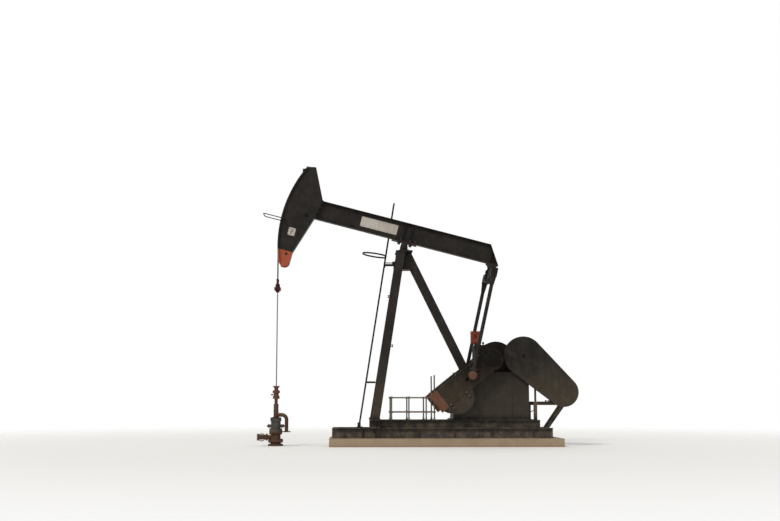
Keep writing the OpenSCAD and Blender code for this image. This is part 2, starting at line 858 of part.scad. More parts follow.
// Walking beam and what is on it
module walking_beam() {
    in_beam() color([0.13, 0.1, 0.08]) {
        intersection() {
            i_beam_x(front_x(0) - 200, beam_tail_low + 200, 0, beam_drop,
                beam_h, beam_w, beam_flange, beam_web);
            slab(600, -300) polygon([
                [front_x(beam_drop) + plate_t, beam_drop],
                [front_x(beam_top) + plate_t, beam_top],
                [beam_tail_top, beam_top],
                [beam_tail_low, beam_drop]
            ]);
        }
        slab(end_plate_w, -end_plate_w / 2) polygon([
            head_back_low,
            head_back_mid,
            head_back_mid + [plate_t, 0],
            head_back_low + [plate_t, 0]
        ]);
        slab(beam_w, -beam_w / 2) polygon([
            [beam_tail_top, beam_top],
            [beam_tail_top + plate_t, beam_top],
            [beam_tail_low + plate_t, beam_drop],
            [beam_tail_low, beam_drop]
        ]);
        for (x = [-stiffener_x, stiffener_x])
            beam_stiffener(x, beam_top - beam_flange);
        for (x = [tail_arm - 110, tail_arm + 30])
            beam_stiffener(x, tail_slope_z(x) - 30);
    }
}

stiffener_x = 120;
stiffener_t = 16;

// Height of the beam's sloped tail at a place along the beam
function tail_slope_z(x) = beam_drop + beam_h * (beam_tail_low - x) / (beam_tail_low - beam_tail_top);

module beam_stiffener(x, high) {
    half = beam_w / 2 - 4;
    block([x - stiffener_t / 2, -half, beam_drop + beam_flange], [x + stiffener_t / 2, half, high]);
}

module saddle_casting() {
    reach = bearing_y - bearing_t / 2 - 12;
    plate_low = beam_drop - 40;
    color([0.3, 0.13, 0.1]) in_beam() {
        bar_y(0, 0, bearing_bore, -bearing_y - 90, bearing_y + 90);
        bar_y(0, 0, 95, -reach, reach);
        block([-80, -reach, 0], [80, reach, plate_low]);
        block([-saddle_rear, -reach, plate_low], [saddle_front, reach, beam_drop]);
        for (x = [-saddle_rear + 60, -150, 150, saddle_front - 60]) for (side = [-1, 1])
            block([x - 30, side * (beam_w / 2 + 17) - 15, beam_drop],
                [x + 30, side * (beam_w / 2 + 17) + 15, beam_drop + 50]);
    }
}

saddle_front = 380;
saddle_rear = 430;

// Bracket under the beam's tail, with its two cheeks and the tail pin
module tail_hangers() {
    inner = tail_hub_y + 8;
    plate_low = beam_drop - 30;
    color([0.14, 0.11, 0.1]) in_beam() {
        bar_y(tail_arm, 0, tail_pin_r, -inner - hanger_t - 20, inner + hanger_t + 20);
        for (side = [-1, 1])
            slab(hanger_t, side * (inner + hanger_t / 2) - hanger_t / 2) union() {
                translate([tail_arm, 0]) circle(r = hanger_r);
                polygon([
                    [tail_arm - hanger_r, 0],
                    [tail_arm + hanger_r, 0],
                    [tail_arm + hanger_r + 25, plate_low],
                    [tail_arm - hanger_r - 60, plate_low]
                ]);
            }
        block([tail_arm - 200, -inner - hanger_t, plate_low], [beam_tail_low, inner + hanger_t, beam_drop]);
    }
}

// Side view of the head: a sector with a stepped back edge, rounded at its lower tip
module head_outline() {
    beyond = head_radius + 200;
    difference() {
        intersection() {
            circle(r = cheek_r, $fn = 360);
            union() {
                polygon([
                    head_back_top, head_back_mid, head_back_low, head_back_tip,
                    [tip[0] + tip_r, tip[1]],
                    [-beyond, tip[1]],
                    [-beyond, head_back_top[1] - 0.2 * (beyond + head_back_top[0])]
                ]);
                intersection() {
                    translate(tip) circle(r = tip_r);
                    translate([-head_radius, tip[1] - tip_r]) square([head_radius, tip_r]);
                }
                translate([-head_radius, tip[1] - tip_r]) square([head_radius + tip[0], tip_r]);
            }
        }
        translate(hinge_hole) circle(r = 60);
        translate(tip_hole) circle(r = 28);
    }
}

module head_cheeks() {
    in_beam() color([0.13, 0.1, 0.08]) for (side = [-1, 1])
        slab(cheek_t, side * (cheek_y + cheek_t / 2) - cheek_t / 2) head_outline();
}

module head_face() {
    low = [-cheek_r * cos(head_down_angle), -cheek_r * sin(head_down_angle)];
    high = [-cheek_r * cos(head_up_angle), cheek_r * sin(head_up_angle)];
    in_beam() color([0.14, 0.11, 0.09]) intersection() {
        union() {
            slab(face_w, -face_w / 2) difference() {
                circle(r = face_r, $fn = 360);
                circle(r = cheek_r, $fn = 360);
            }
            for (side = [-1, 1])
                slab(12, side * (face_w / 2 - 6) - 6) difference() {
                    circle(r = face_r + rope_d, $fn = 360);
                    circle(r = cheek_r, $fn = 360);
                }
        }
        slab(face_w, -face_w / 2) polygon([[0, 0], 1.1 * low, 1.1 * [-face_r, 0], 1.1 * high]);
    }
}

// Back plates between the cheeks, along each stretch of their stepped edge
module head_back() {
    t = 14;
    edge = [head_back_top, head_back_mid, head_back_low, head_back_tip, [tip[0] + tip_r, tip[1]]];
    color([0.13, 0.1, 0.08]) in_beam() slab(2 * cheek_y, -cheek_y)
        for (i = [0 : len(edge) - 2])
            polygon([edge[i], edge[i + 1], edge[i + 1] + [-t, 0], edge[i] + [-t, i == 0 ? -t / 2 : 0]]);
}

guard_bar_r = 15;
guard_half = 305;
guard_tip = head_radius + 575;
guard_corner = 100;
guard_z = -110;

// Round bar in the form of a U around the bridle, with its two legs fixed to the cheeks
module rope_guard() {
    x0 = -cheek_r + 60;
    bend_x = guard_corner - guard_tip;
    bend_y = guard_half - guard_corner;
    in_beam() color([0.2, 0.2, 0.2]) {
        for (side = [-1, 1]) {
            bar([x0, side * guard_half, guard_z], [bend_x, side * guard_half, guard_z], guard_bar_r);
            bar([x0, side * (cheek_y + cheek_t), guard_z], [x0, side * guard_half, guard_z], guard_bar_r);
            translate([bend_x, side * bend_y, guard_z]) rotate([0, 0, side > 0 ? 90 : 180])
                rotate_extrude(angle = 90) translate([guard_corner, 0]) circle(r = guard_bar_r);
        }
        bar([-guard_tip, -bend_y, guard_z], [-guard_tip, bend_y, guard_z], guard_bar_r);
    }
}

sign = [[-1520, beam_drop + 150], [-325, beam_drop + 470]];
sign_t = 6;
number_at = [315 - head_radius, -560];
number_size = [222, 246];

module sign_plates() {
    in_beam() color("white") {
        slab(sign_t, -beam_web / 2 - sign_t) translate(sign[0]) square(sign[1] - sign[0]);
        slab(sign_t, -cheek_y - cheek_t - sign_t) translate(number_at) square(number_size);
    }
}

module bridle_anchor() {
    in_beam() color([0.2, 0.16, 0.14]) rotate([0, anchor_angle, 0])
        block([-face_r - 60, -cheek_y, 0], [-face_r - 2, cheek_y, 110]);
}

module bridle_wrap() {
    in_beam() color([0.25, 0.24, 0.22]) for (side = [-1, 1])
        translate([0, side * rope_y, 0]) rotate([90, 0, 0]) rotate([0, 0, 180 - anchor_angle])
            rotate_extrude(angle = anchor_angle + beam_tilt, $fn = 720)
                translate([head_radius, 0]) circle(r = rope_d / 2, $fn = 16);
}

// Pitmans and equalizer
// Box beam across the machine, tapered to its ends, with its bearing housing in the middle
module equalizer() {
    end = pitman_y + 75;
    top = -equal_drop;
    low = top - equal_h;
    dip = top - equal_dip;
    mid_half = 330;
    flat = pitman_y - 80;
    color([0.12, 0.1, 0.09]) in_pitman() difference() {
        union() {
            bar_y(0, 0, tail_hub_r, -tail_hub_y, tail_hub_y);
            block([-tail_block_r, -tail_hub_y, low + 60], [tail_block_r, tail_hub_y, -tail_pin_r]);
            translate([-equal_w / 2, 0, 0]) rotate([90, 0, 90]) linear_extrude(height = equal_w) polygon([
                [-end, top], [-mid_half, top], [-mid_half + 100, dip],
                [mid_half - 100, dip], [mid_half, top], [end, top],
                [end, top - equal_end_h], [flat, top - equal_end_h], [mid_half, low],
                [-mid_half, low], [-flat, top - equal_end_h], [-end, top - equal_end_h]
            ]);
        }
        bar_y(0, 0, tail_pin_r + fit, -200, 200);
    }
}

// Tube from the equalizer's end to the wrist bearing, with a tapered head
module pitman(side) {
    top = -equal_drop - equal_end_h - running;
    low = -pitman_length + wrist_hub_r - 10;
    y = side * pitman_y;
    r = pitman_d / 2;
    color([0.12, 0.1, 0.09]) in_pitman() difference() {
        union() {
            tube_z(0, y, low, top, r);
            block([-95, y - 70, top - 30], [95, y + 70, top]);
            slab(50, y - 25) polygon([
                [-90, top - 30],
                [90, top - 30],
                [r + 4, top - 300],
                [-r - 4, top - 300]
            ]);
        }
        bar_y(0, -pitman_length, wrist_hub_r, y - 200, y + 200);
    }
}

module pitman_near() pitman(-1);
module pitman_far() pitman(1);

module wrist_bearings() {
    pin_in = crank_y + crank_t + 6;
    in_pitman() for (side = [-1, 1]) {
        y = side * pitman_y;
        color([0.14, 0.11, 0.1]) bar_y(0, -pitman_length, wrist_hub_r, y - 60, y + 60);
        color([0.14, 0.11, 0.1])
            bar_y(0, -pitman_length, wrist_r, min(y, side * pin_in), max(y, side * pin_in));
        color("orangered")
            bar_y(0, -pitman_length, 120, y + 60 + (side < 0 ? -160 : 0), y + 100 + (side < 0 ? -160 : 0));
    }
}

// Cranks
module crankshaft() {
    end = crank_y + crank_t + 40;
    in_crank() color([0.2, 0.18, 0.17]) {
        bar_y(0, 0, shaft_r, -end, end);
    }
}

module crank(side) {
    y0 = side > 0 ? crank_y : -crank_y - crank_t;
    half = crank_w / 2;
    in_crank() color([0.12, 0.11, 0.1]) difference() {
        slab(crank_t, y0) union() {
            circle(r = hub_r, $fn = 96);
            translate([-crank_reach, -half]) square([crank_reach, crank_w]);
        }
        bar_y(0, 0, shaft_r + fit, y0 - 1, y0 + crank_t + 1);
        for (h = holes)
            bar_y(-h, 0, wrist_r + 5, y0 - 1, y0 + crank_t + 1);
    }
}

module crank_near() crank(-1);
module crank_far() crank(1);

weight_x0 = 1050;
weight_x1 = 2050;
weight_t = 200;

module counterweights() {
    half = crank_w / 2;
    mid = (weight_x0 + weight_x1) / 2;
    reach = (weight_x1 - weight_x0) / 2;
    r = (reach ^ 2 + weight_depth ^ 2) / (2 * weight_depth);
    in_crank() color([0.11, 0.1, 0.1]) for (side = [-1, 1])
        slab(weight_t, side * (crank_y + crank_t / 2) - weight_t / 2) intersection() {
            translate([-mid, -half - weight_depth + r]) circle(r = r, $fn = 96);
            translate([-weight_x1, -half - weight_depth]) square([2 * reach, weight_depth]);
        }
}

// Carrier, rod and the hanging part of the bridle
module carrier_bar() {
    low = carrier_z + spacer_h;
    on_well() color([0.35, 0.08, 0.07]) difference() {
        union() {
            block([-95, -rope_y - 55, low], [95, rope_y + 55, low + bar_h]);
            for (side = [-1, 1])
                tube_z(0, side * rope_y, low + bar_h, low + bar_h + socket_h, 32);
            tube_z(0, 0, carrier_z, low, 60);
        }
        tube_z(0, 0, carrier_z - 1, low + bar_h + 1, rod_bore);
    }
}

module rod_clamp() {
    low = carrier_z + spacer_h + bar_h;
    on_well() color([0.4, 0.09, 0.08]) difference() {
        block([-60, -60, low], [60, 60, low + clamp_h]);
        tube_z(0, 0, low - 1, low + clamp_h + 1, rod_bore);
    }
}

module polished_rod() {
    top = carrier_z + spacer_h + bar_h + clamp_h + 40;
    on_well() color("silver") tube_z(0, 0, rod_low_z, top, rod_d / 2);
}

module bridle_drop() {
    low = carrier_z + spacer_h + bar_h + socket_h;
    on_well() color([0.25, 0.24, 0.22]) for (side = [-1, 1])
        tube_z(0, side * rope_y, low, saddle_z, rope_d / 2);
}

foundation_block();
lower_rails();
cross_beams();
upper_rails();
foot_beam();
pedestal();
front_leg_near();
front_leg_far();
rear_leg();
leg_braces();
post_top();
saddle_bearings();
gearbox_housing();
gearbox_cover();
inspection_box();
belt_guard();
belt_drive();
motor();
motor_mount();
brake_drum();
ladder();
ladder_hoop();
ladder_ties();
guard_rails();
casing_head();
side_valve();
tubing_head();
pumping_tee();
stuffing_box();
walking_beam();
saddle_casting();
tail_hangers();
head_cheeks();
head_face();
head_back();
rope_guard();
sign_plates();
bridle_anchor();
bridle_wrap();
equalizer();
pitman_near();
pitman_far();
wrist_bearings();
crankshaft();
crank_near();
crank_far();
counterweights();
carrier_bar();
rod_clamp();
polished_rod();
bridle_drop();
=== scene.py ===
import json
import logging
from dataclasses import dataclass
from enum import Enum
from math import acos, asin, atan2, cos, radians, sin, tau
from typing import Iterable, Sequence

import bpy
from mathutils import Matrix, Vector


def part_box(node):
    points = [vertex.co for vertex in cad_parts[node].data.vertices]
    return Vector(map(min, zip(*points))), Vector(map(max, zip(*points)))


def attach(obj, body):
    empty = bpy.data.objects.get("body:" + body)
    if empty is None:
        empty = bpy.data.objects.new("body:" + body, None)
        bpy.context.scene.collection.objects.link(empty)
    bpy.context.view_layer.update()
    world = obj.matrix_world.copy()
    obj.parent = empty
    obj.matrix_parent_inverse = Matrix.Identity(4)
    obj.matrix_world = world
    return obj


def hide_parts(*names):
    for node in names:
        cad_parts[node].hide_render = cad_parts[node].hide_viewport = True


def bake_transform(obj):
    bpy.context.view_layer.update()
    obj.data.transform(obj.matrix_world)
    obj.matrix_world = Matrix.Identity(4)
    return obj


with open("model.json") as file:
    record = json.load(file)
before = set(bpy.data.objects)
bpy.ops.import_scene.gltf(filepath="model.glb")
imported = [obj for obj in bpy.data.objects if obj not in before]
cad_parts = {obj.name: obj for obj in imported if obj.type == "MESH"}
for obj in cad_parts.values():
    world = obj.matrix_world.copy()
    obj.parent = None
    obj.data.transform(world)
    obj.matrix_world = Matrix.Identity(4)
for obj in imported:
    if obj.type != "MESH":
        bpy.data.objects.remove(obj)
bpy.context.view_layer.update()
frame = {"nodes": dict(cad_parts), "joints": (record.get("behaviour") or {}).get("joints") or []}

LOG = logging.getLogger("pumping_unit")
Point = tuple[float, float, float]
Flat = tuple[float, float]
Colour = tuple[float, float, float]
Spot = tuple[Point, Point]
Mesh = bpy.types.Object

UP, DOWN = (0.0, 0.0, 1.0), (0.0, 0.0, -1.0)
NEAR, FAR = (0.0, -1.0, 0.0), (0.0, 1.0, 0.0)
FRONT, REAR = (-1.0, 0.0, 0.0), (1.0, 0.0, 0.0)
SIDES = (-1, 1)
SMOOTH, ROUND_SMOOTH = radians(40), radians(60)
ROPE_RADIUS, ROPE_Y = 0.013, 0.11
WELL_X = -3.970


class Body(Enum):
    """The bodies of the frame that pieces ride on."""

    BASE = "base"
    BEAM = "beam"
    PITMANS = "pitmans"
    CRANKS = "cranks"
    CARRIER = "carrier"


class Slot(Enum):
    """The record's material slots that finishes stand for."""

    CONCRETE = "concrete"
    DARK = "dark_paint"
    SKID = "skid_paint"
    CAST = "cast_iron"
    ORANGE = "orange_paint"
    MOTOR = "motor_paint"
    STEEL = "grey_steel"
    IRON = "rusty_iron"
    VALVE = "valve_paint"
    RED = "red_paint"
    WHITE = "white_paint"
    ROPE = "wire_rope"
    RUBBER = "rubber"


class BoltStyle(Enum):
    """Kinds of fastener."""

    HEAD = "head"
    STUD = "stud"


def tint(red: int, green: int, blue: int) -> Colour:
    """Turn a screen colour, 0 to 255, into the linear colour that shaders use."""
    return tuple(((c / 255 + 0.055) / 1.055) ** 2.4 if c > 10 else c / 255 / 12.92 for c in (red, green, blue))


class Tree:
    """A node tree with helpers that keep the making of shaders short."""

    def __init__(self, tree: bpy.types.NodeTree) -> None:
        """Wrap a tree and empty it.

        Args:
            tree: The tree to fill.
        """
        self.tree, self.nodes, self.links = tree, tree.nodes, tree.links
        self.nodes.clear()

    def put(self, kind: str, sources: dict[object, object] | None = None, **settings: object) -> bpy.types.Node:
        """Add a node, set its options and feed its inputs.

        Args:
            kind: The node's type without its prefix.
            sources: For each input, a value or the socket that feeds it.
            settings: Options of the node.

        Returns:
            The new node.
        """
        node = self.nodes.new("ShaderNode" + kind)
        for key, value in settings.items():
            setattr(node, key, value)
        for key, value in (sources or {}).items():
            if isinstance(value, bpy.types.NodeSocket):
                self.links.new(value, node.inputs[key])
            else:
                node.inputs[key].default_value = value
        return node

    def maths(self, operation: str, a: object, b: object = 0.0, c: object = 0.0, clamp: bool = False) -> object:
        """Add a maths node on up to three values or sockets and return its result."""
        return self.put("Math", {0: a, 1: b, 2: c}, operation=operation, use_clamp=clamp).outputs[0]

    def times(self, a: object, b: object, clamp: bool = False) -> object:
        """Multiply two values or sockets."""
        return self.maths("MULTIPLY", a, b, clamp=clamp)

    def plus(self, a: object, b: object, clamp: bool = False) -> object:
        """Add two values or sockets."""
        return self.maths("ADD", a, b, clamp=clamp)

    def noise(self, vector: object, scale: float, detail: float = 4.0, rough: float = 0.55) -> object:
        """Add a noise of a scale, with its octaves and their weight, and return its value."""
        sources = {"Vector": vector, "Scale": scale, "Detail": detail, "Roughness": rough}
        return self.put("TexNoise", sources).outputs["Fac"]

    def ramp(self, value: object, low: object, high: object) -> object:
        """Map a value from low..high to 0..1 with a soft ramp."""
        sources = {"Value": value, "From Min": low, "From Max": high}
        return self.put("MapRange", sources, interpolation_type="SMOOTHSTEP").outputs[0]

    def mix(self, factor: object, a: object, b: object, blend: str = "MIX") -> object:
        """Mix a second colour into a first one and return the result."""
        return self.put("Mix", {0: factor, 6: a, 7: b}, data_type="RGBA", blend_type=blend).outputs[2]


class Group(Tree):
    """A shader group that is made once and shared by many materials."""

    def __init__(self, name: str, inputs: dict[str, object], outputs: dict[str, str]) -> None:
        """Start a group with its sockets.

        Args:
            name: The group's name.
            inputs: Each input's default: four numbers for a colour, three for a vector.
            outputs: Each output's kind.
        """
        super().__init__(bpy.data.node_groups.new(name, "ShaderNodeTree"))
        sockets = self.tree.interface
        for label, value in inputs.items():
            kind = {3: "Vector", 4: "Color"}[len(value)] if isinstance(value, tuple) else "Float"
            socket = sockets.new_socket(name=label, in_out="INPUT", socket_type="NodeSocket" + kind)
            socket.default_value = value
        for label, kind in outputs.items():
            sockets.new_socket(name=label, in_out="OUTPUT", socket_type="NodeSocket" + kind)
        self.given = self.nodes.new("NodeGroupInput").outputs
        self.result = self.nodes.new("NodeGroupOutput").inputs

    def give(self, results: dict[str, object]) -> "Group":
        """Feed the group's outputs and return the group.

        Args:
            results: The socket that feeds each output.

        Returns:
            The group.
        """
        for label, socket in results.items():
            self.links.new(socket, self.result[label])
        return self


def weather_group() -> Group:
    """Make the group that fades, streaks, dusts and rusts a painted or bare metal surface.

    Returns:
        The group.
    """
    g = Group("weathered_metal", {"Base": (0.1, 0.1, 0.1, 1), "Faded": (0.2, 0.2, 0.2, 1),
                                  "Dust": (*tint(150, 132, 108), 1), "Rust": (*tint(96, 54, 34), 1),
                                  "Fade Amount": 0.5, "Dust Amount": 0.3, "Rust Amount": 0.2, "Dull": 0.6},
              {"Color": "Color", "Roughness": "Float", "Height": "Float"})
    where = g.put("TexCoord").outputs
    point = where["Object"]
    up = g.put("SeparateXYZ", {0: where["Normal"]}).outputs[2]
    height = g.put("SeparateXYZ", {0: point}).outputs[2]
    noises = ((0.8, 5.0, 0.6), (4.5, 6.0, 0.65), (38.0, 5.0, 0.6))
    broad, patch, fine = (g.noise(point, *values) for values in noises)
    drawn = g.put("Mapping", {"Vector": point, "Scale": (9.0, 9.0, 0.7)}).outputs[0]
    streak = g.noise(drawn, 1.0, 5.0, 0.6)
    colour = g.mix(g.times(g.ramp(broad, 0.35, 0.68), g.given["Fade Amount"]), g.given["Base"], g.given["Faded"])
    colour = g.mix(g.times(g.ramp(streak, 0.5, 0.72), 0.35), colour, g.given["Faded"])
    colour = g.mix(g.times(g.ramp(streak, 0.46, 0.3), 0.4), colour, (0.35, 0.33, 0.32, 1), "MULTIPLY")
    settled = g.times(g.ramp(up, 0.15, 0.95), g.ramp(patch, 0.3, 0.62))
    splashed = g.times(g.ramp(height, 1.0, 0.25), g.ramp(patch, 0.36, 0.66))
    blown = g.times(g.ramp(height, 2.7, 1.4), g.ramp(height, 0.85, 1.0))
    film = g.plus(g.times(g.ramp(patch, 0.42, 0.8), 0.4), g.times(blown, 0.6))
    dusty = g.plus(g.plus(g.times(settled, 0.9), g.times(splashed, 0.6)), film)
    dusty = g.times(dusty, g.given["Dust Amount"], clamp=True)
    colour = g.mix(dusty, colour, g.given["Dust"])
    start = g.maths("SUBTRACT", 0.78, g.times(g.given["Rust Amount"], 0.32))
    rust = g.ramp(g.plus(g.times(patch, 0.7), g.times(fine, 0.42)), start, g.plus(start, 0.07))
    rust_tone = g.mix(g.ramp(fine, 0.35, 0.65), g.given["Rust"], (*tint(62, 36, 26), 1))
    colour = g.mix(g.times(rust, 0.85), colour, rust_tone)
    grain = g.maths("MULTIPLY_ADD", fine, 0.12, 0.94)
    grain = g.put("CombineColor", {0: grain, 1: grain, 2: grain}).outputs[0]
    dull = g.plus(g.given["Dull"], g.times(g.plus(dusty, rust), 0.3))
    relief = g.plus(g.times(fine, 0.5), g.plus(g.times(rust, 0.7), g.times(broad, 0.6)))
    return g.give({"Color": g.mix(1.0, colour, grain, "MULTIPLY"), "Height": relief,
                   "Roughness": g.plus(dull, g.maths("MULTIPLY_ADD", patch, 0.16, -0.08), clamp=True)})


def edge_group() -> Group:
    """Make the group that gives a brushed paint edge across a plane.

    Returns:
        The group.
    """
    g = Group("paint_edge", {"Across": (0, 0, 1), "At": 0.0}, {"Mask": "Float"})
    point = g.put("TexCoord").outputs["Object"]
    along = g.put("VectorMath", {0: point, 1: g.given["Across"]}, operation="DOT_PRODUCT").outputs["Value"]
    wobble = g.maths("MULTIPLY_ADD", g.noise(point, 9.0, 3.0), 0.03, -0.015)
    away = g.maths("SUBTRACT", g.plus(along, wobble), g.given["At"])
    return g.give({"Mask": g.ramp(away, -0.006, 0.006)})


def concrete_group() -> Group:
    """Make the group for cast concrete with form marks, stains and pits.

    Returns:
        The group.
    """
    g = Group("cast_concrete", {"Base": (0.5, 0.45, 0.4, 1), "Stain": (0.3, 0.26, 0.2, 1)},
              {"Color": "Color", "Roughness": "Float", "Height": "Float"})
    point = g.put("TexCoord").outputs["Object"]
    along, _, height = g.put("SeparateXYZ", {0: point}).outputs
    noises = ((1.3, 6.0, 0.6), (55.0, 6.0, 0.7), (260.0, 2.0))
    broad, fine, sand = (g.noise(point, *values) for values in noises)
    pits = g.put("TexVoronoi", {"Vector": point, "Scale": 34.0}, feature="F1").outputs["Distance"]
    seam = g.ramp(g.maths("PINGPONG", g.plus(height, 0.011), 0.0625), 0.003, 0.0)
    joint = g.ramp(g.maths("PINGPONG", g.plus(along, 0.3), 0.61), 0.004, 0.0)
    marks = g.maths("MAXIMUM", g.maths("MAXIMUM", seam, joint), g.ramp(pits, 0.16, 0.06))
    foot = g.times(g.ramp(height, 0.09, 0.0), g.ramp(fine, 0.3, 0.55))
    colour = g.mix(g.times(g.ramp(broad, 0.45, 0.7), 0.55), g.given["Base"], g.given["Stain"])
    colour = g.mix(g.times(g.ramp(fine, 0.45, 0.72), 0.25), colour, (*tint(196, 182, 158), 1))
    colour = g.mix(g.times(foot, 0.6), colour, (*tint(120, 98, 74), 1))
    relief = g.plus(g.times(sand, 0.25), g.times(fine, 0.5))
    return g.give({"Color": g.mix(g.times(marks, 0.35), colour, (*tint(84, 72, 58), 1)),
                   "Roughness": g.maths("MULTIPLY_ADD", fine, 0.15, 0.8),
                   "Height": g.maths("SUBTRACT", relief, g.times(marks, 0.8))})


def strand_group() -> Group:
    """Make the group for laid wire rope: strands that turn round the rope, as a groove pattern that gives relief
    and painted shade in the grooves.

    Returns:
        The group.
    """
    g = Group("laid_strands", {"Lay": 60.0}, {"Groove And Shade": "Float"})
    _, across, height = g.put("SeparateXYZ", {0: g.put("TexCoord").outputs["Object"]}).outputs
    slant = g.plus(height, g.times(across, 1.4))
    wave = g.maths("SINE", g.times(slant, g.times(g.given["Lay"], 6.283)))
    return g.give({"Groove And Shade": g.maths("MULTIPLY_ADD", wave, 0.5, 0.5)})


WEATHER, EDGE, CONCRETE, STRANDS = weather_group(), edge_group(), concrete_group(), strand_group()
MADE: dict[str, bpy.types.Material] = {}


@dataclass(frozen=True)
class Finish:
    """A weathered metal finish.

    Attributes:
        name: What a painter would call it.
        base: Fresh colour.
        faded: Weathered colour.
        slot: The record's slot that it stands for; not used.
        fade: How much of the surface has faded.
        dust: How much sand dust lies on it.
        rust: How much rust shows.
        dull: Roughness.
        metal: Metallic value of the bare surface.
        shine: Specular level.
        relief: Height of the surface's grain in metres.
        depth: Strength of the grain.
    """

    name: str
    base: Colour
    faded: Colour
    slot: Slot = Slot.DARK
    fade: float = 0.6
    dust: float = 0.3
    rust: float = 0.2
    dull: float = 0.55
    metal: float = 0.0
    shine: float = 0.14
    relief: float = 0.002
    depth: float = 0.5

    def wear(self, tree: Tree) -> bpy.types.Node:
        """Put the shared group of this finish into a tree, set it and return its node."""
        return tree.put("Group", {"Base": (*self.base, 1), "Faded": (*self.faded, 1), "Fade Amount": self.fade,
                                  "Dust Amount": self.dust, "Rust Amount": self.rust, "Dull": self.dull},
                        node_tree=WEATHER.tree)

    def surface(self, tree: Tree) -> tuple[object, object, object]:
        """Return the sockets for colour, roughness and height."""
        made = self.wear(tree).outputs
        return made["Color"], made["Roughness"], made["Height"]

    def make(self) -> bpy.types.Material:
        """Make the material: the shared group feeds a Principled shader and its relief.

        Returns:
            The material.
        """
        material, tree = new_material(self.name)
        colour, rough, height = self.surface(tree)
        bump = tree.put("Bump", {"Strength": self.depth, "Distance": self.relief, "Height": height})
        skin = tree.put("BsdfPrincipled", {"Base Color": colour, "Roughness": rough, "Metallic": self.metal,
                                           "Specular IOR Level": self.shine, "Normal": bump.outputs[0]})
        tree.put("OutputMaterial", {0: skin.outputs[0]})
        return material

    def put_on(self, mesh: bpy.types.Mesh) -> None:
        """Give a mesh this finish alone. Its material is made on first use.

        Args:
            mesh: The mesh.
        """
        if self.name not in MADE:
            MADE[self.name] = self.make()
        mesh.materials.clear()
        mesh.materials.append(MADE[self.name])


@dataclass(frozen=True)
class TippedFinish(Finish):
    """A finish whose paint changes beyond a plane.

    Attributes:
        tip: Finish beyond the plane.
        across: Direction across the plane.
        at: Distance of the plane along that direction, from the origin.
    """

    tip: Finish | None = None
    across: Point = UP
    at: float = 0.0

    def wear(self, tree: Tree) -> bpy.types.Node:
        """Put the shared group in, with both colours mixed at the painted edge.

        Args:
            tree: The material's tree.

        Returns:
            The group's node.
        """
        node = super().wear(tree)
        mask = tree.put("Group", {"Across": self.across, "At": self.at}, node_tree=EDGE.tree).outputs["Mask"]
        for label, plain, tipped in (("Base", self.base, self.tip.base), ("Faded", self.faded, self.tip.faded)):
            tree.links.new(tree.mix(mask, (*plain, 1), (*tipped, 1)), node.inputs[label])
        return node


@dataclass(frozen=True)
class ConcreteFinish(Finish):
    """Cast concrete, with its stains in place of the faded colour."""

    def wear(self, tree: Tree) -> bpy.types.Node:
        """Put the concrete group in, set it and return its node."""
        return tree.put("Group", {"Base": (*self.base, 1), "Stain": (*self.faded, 1)}, node_tree=CONCRETE.tree)


@dataclass(frozen=True)
class RopeFinish(Finish):
    """Wire rope: the weathered finish, darkened in the grooves between strands as painted shade, with the strands
    in its relief.

    Attributes:
        lay: Strands for each metre of rope.
    """

    lay: float = 60.0

    def surface(self, tree: Tree) -> tuple[object, object, object]:
        """Darken the colour in the grooves between strands, as painted shade, and use the same pattern as height.

        Args:
            tree: The material's tree.

        Returns:
            The sockets for colour, roughness and height.
        """
        colour, rough, _ = super().surface(tree)
        groove_and_shade = tree.put("Group", {"Lay": self.lay}, node_tree=STRANDS.tree).outputs["Groove And Shade"]
        # painted shade: the strand pattern darkens the colour in the grooves between strands, and also gives the
        # rope its relief
        return tree.mix(0.6, colour, groove_and_shade, "MULTIPLY"), rough, groove_and_shade


def new_material(name: str) -> tuple[bpy.types.Material, Tree]:
    """Start a material with an empty tree.

    Args:
        name: The material's name.

    Returns:
        The material and its tree.
    """
    material = bpy.data.materials.new(name)
    material.use_nodes = True
    return material, Tree(material.node_tree)


def dress(finish: Finish, *nodes: str) -> None:
    """Give CAD nodes a finish.

    Args:
        finish: The finish.
        nodes: The nodes' names.
    """
    for name in nodes:
        finish.put_on(frame["nodes"][name].data)
        LOG.info("dressed %s in %s", name, finish.name)


@dataclass(frozen=True)
class Linkage:
    """The bearings' places, in metres, and the frames of beam, pitmans and cranks that follow from them."""

    saddle: Vector
    tail: Vector
    wrist: Vector
    shaft: Vector

    @classmethod
    def from_frame(cls) -> "Linkage":
        """Read the places from the frame's joints and the wrist bearings' box.

        Returns:
            The linkage.
        """
        at = {joint["name"]: Vector(joint["pos_m"]) for joint in frame["joints"] if "pos_m" in joint}
        low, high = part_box("wrist_bearings")
        middle = (low + high) / 2
        return cls(at["beam_rock"], at["pitman_swing"], Vector((middle.x, 0, middle.z)), at["crank_turn"])

    @property
    def beam_tilt(self) -> float:
        """Tilt of the beam in radians."""
        arm = self.tail - self.saddle
        return atan2(-arm.z, arm.x)

    @property
    def in_beam(self) -> Matrix:
        """Place of the beam's own frame."""
        return Matrix.Translation(self.saddle) @ turn("Y", self.beam_tilt)

    @property
    def in_pitman(self) -> Matrix:
        """Place of the pitmans' own frame."""
        arm = self.tail - self.wrist
        return Matrix.Translation(self.tail) @ turn("Y", atan2(arm.x, arm.z))

    @property
    def in_crank(self) -> Matrix:
        """Place of the cranks' own frame."""
        arm = self.wrist - self.shaft
        return Matrix.Translation(self.shaft) @ turn("Y", atan2(arm.z, -arm.x))


def turn(axis: str, angle: float) -> Matrix:
    """Turn about an axis of the frame by an angle in radians."""
    return Matrix.Rotation(angle, 4, axis)


LINKAGE = Linkage.from_frame()


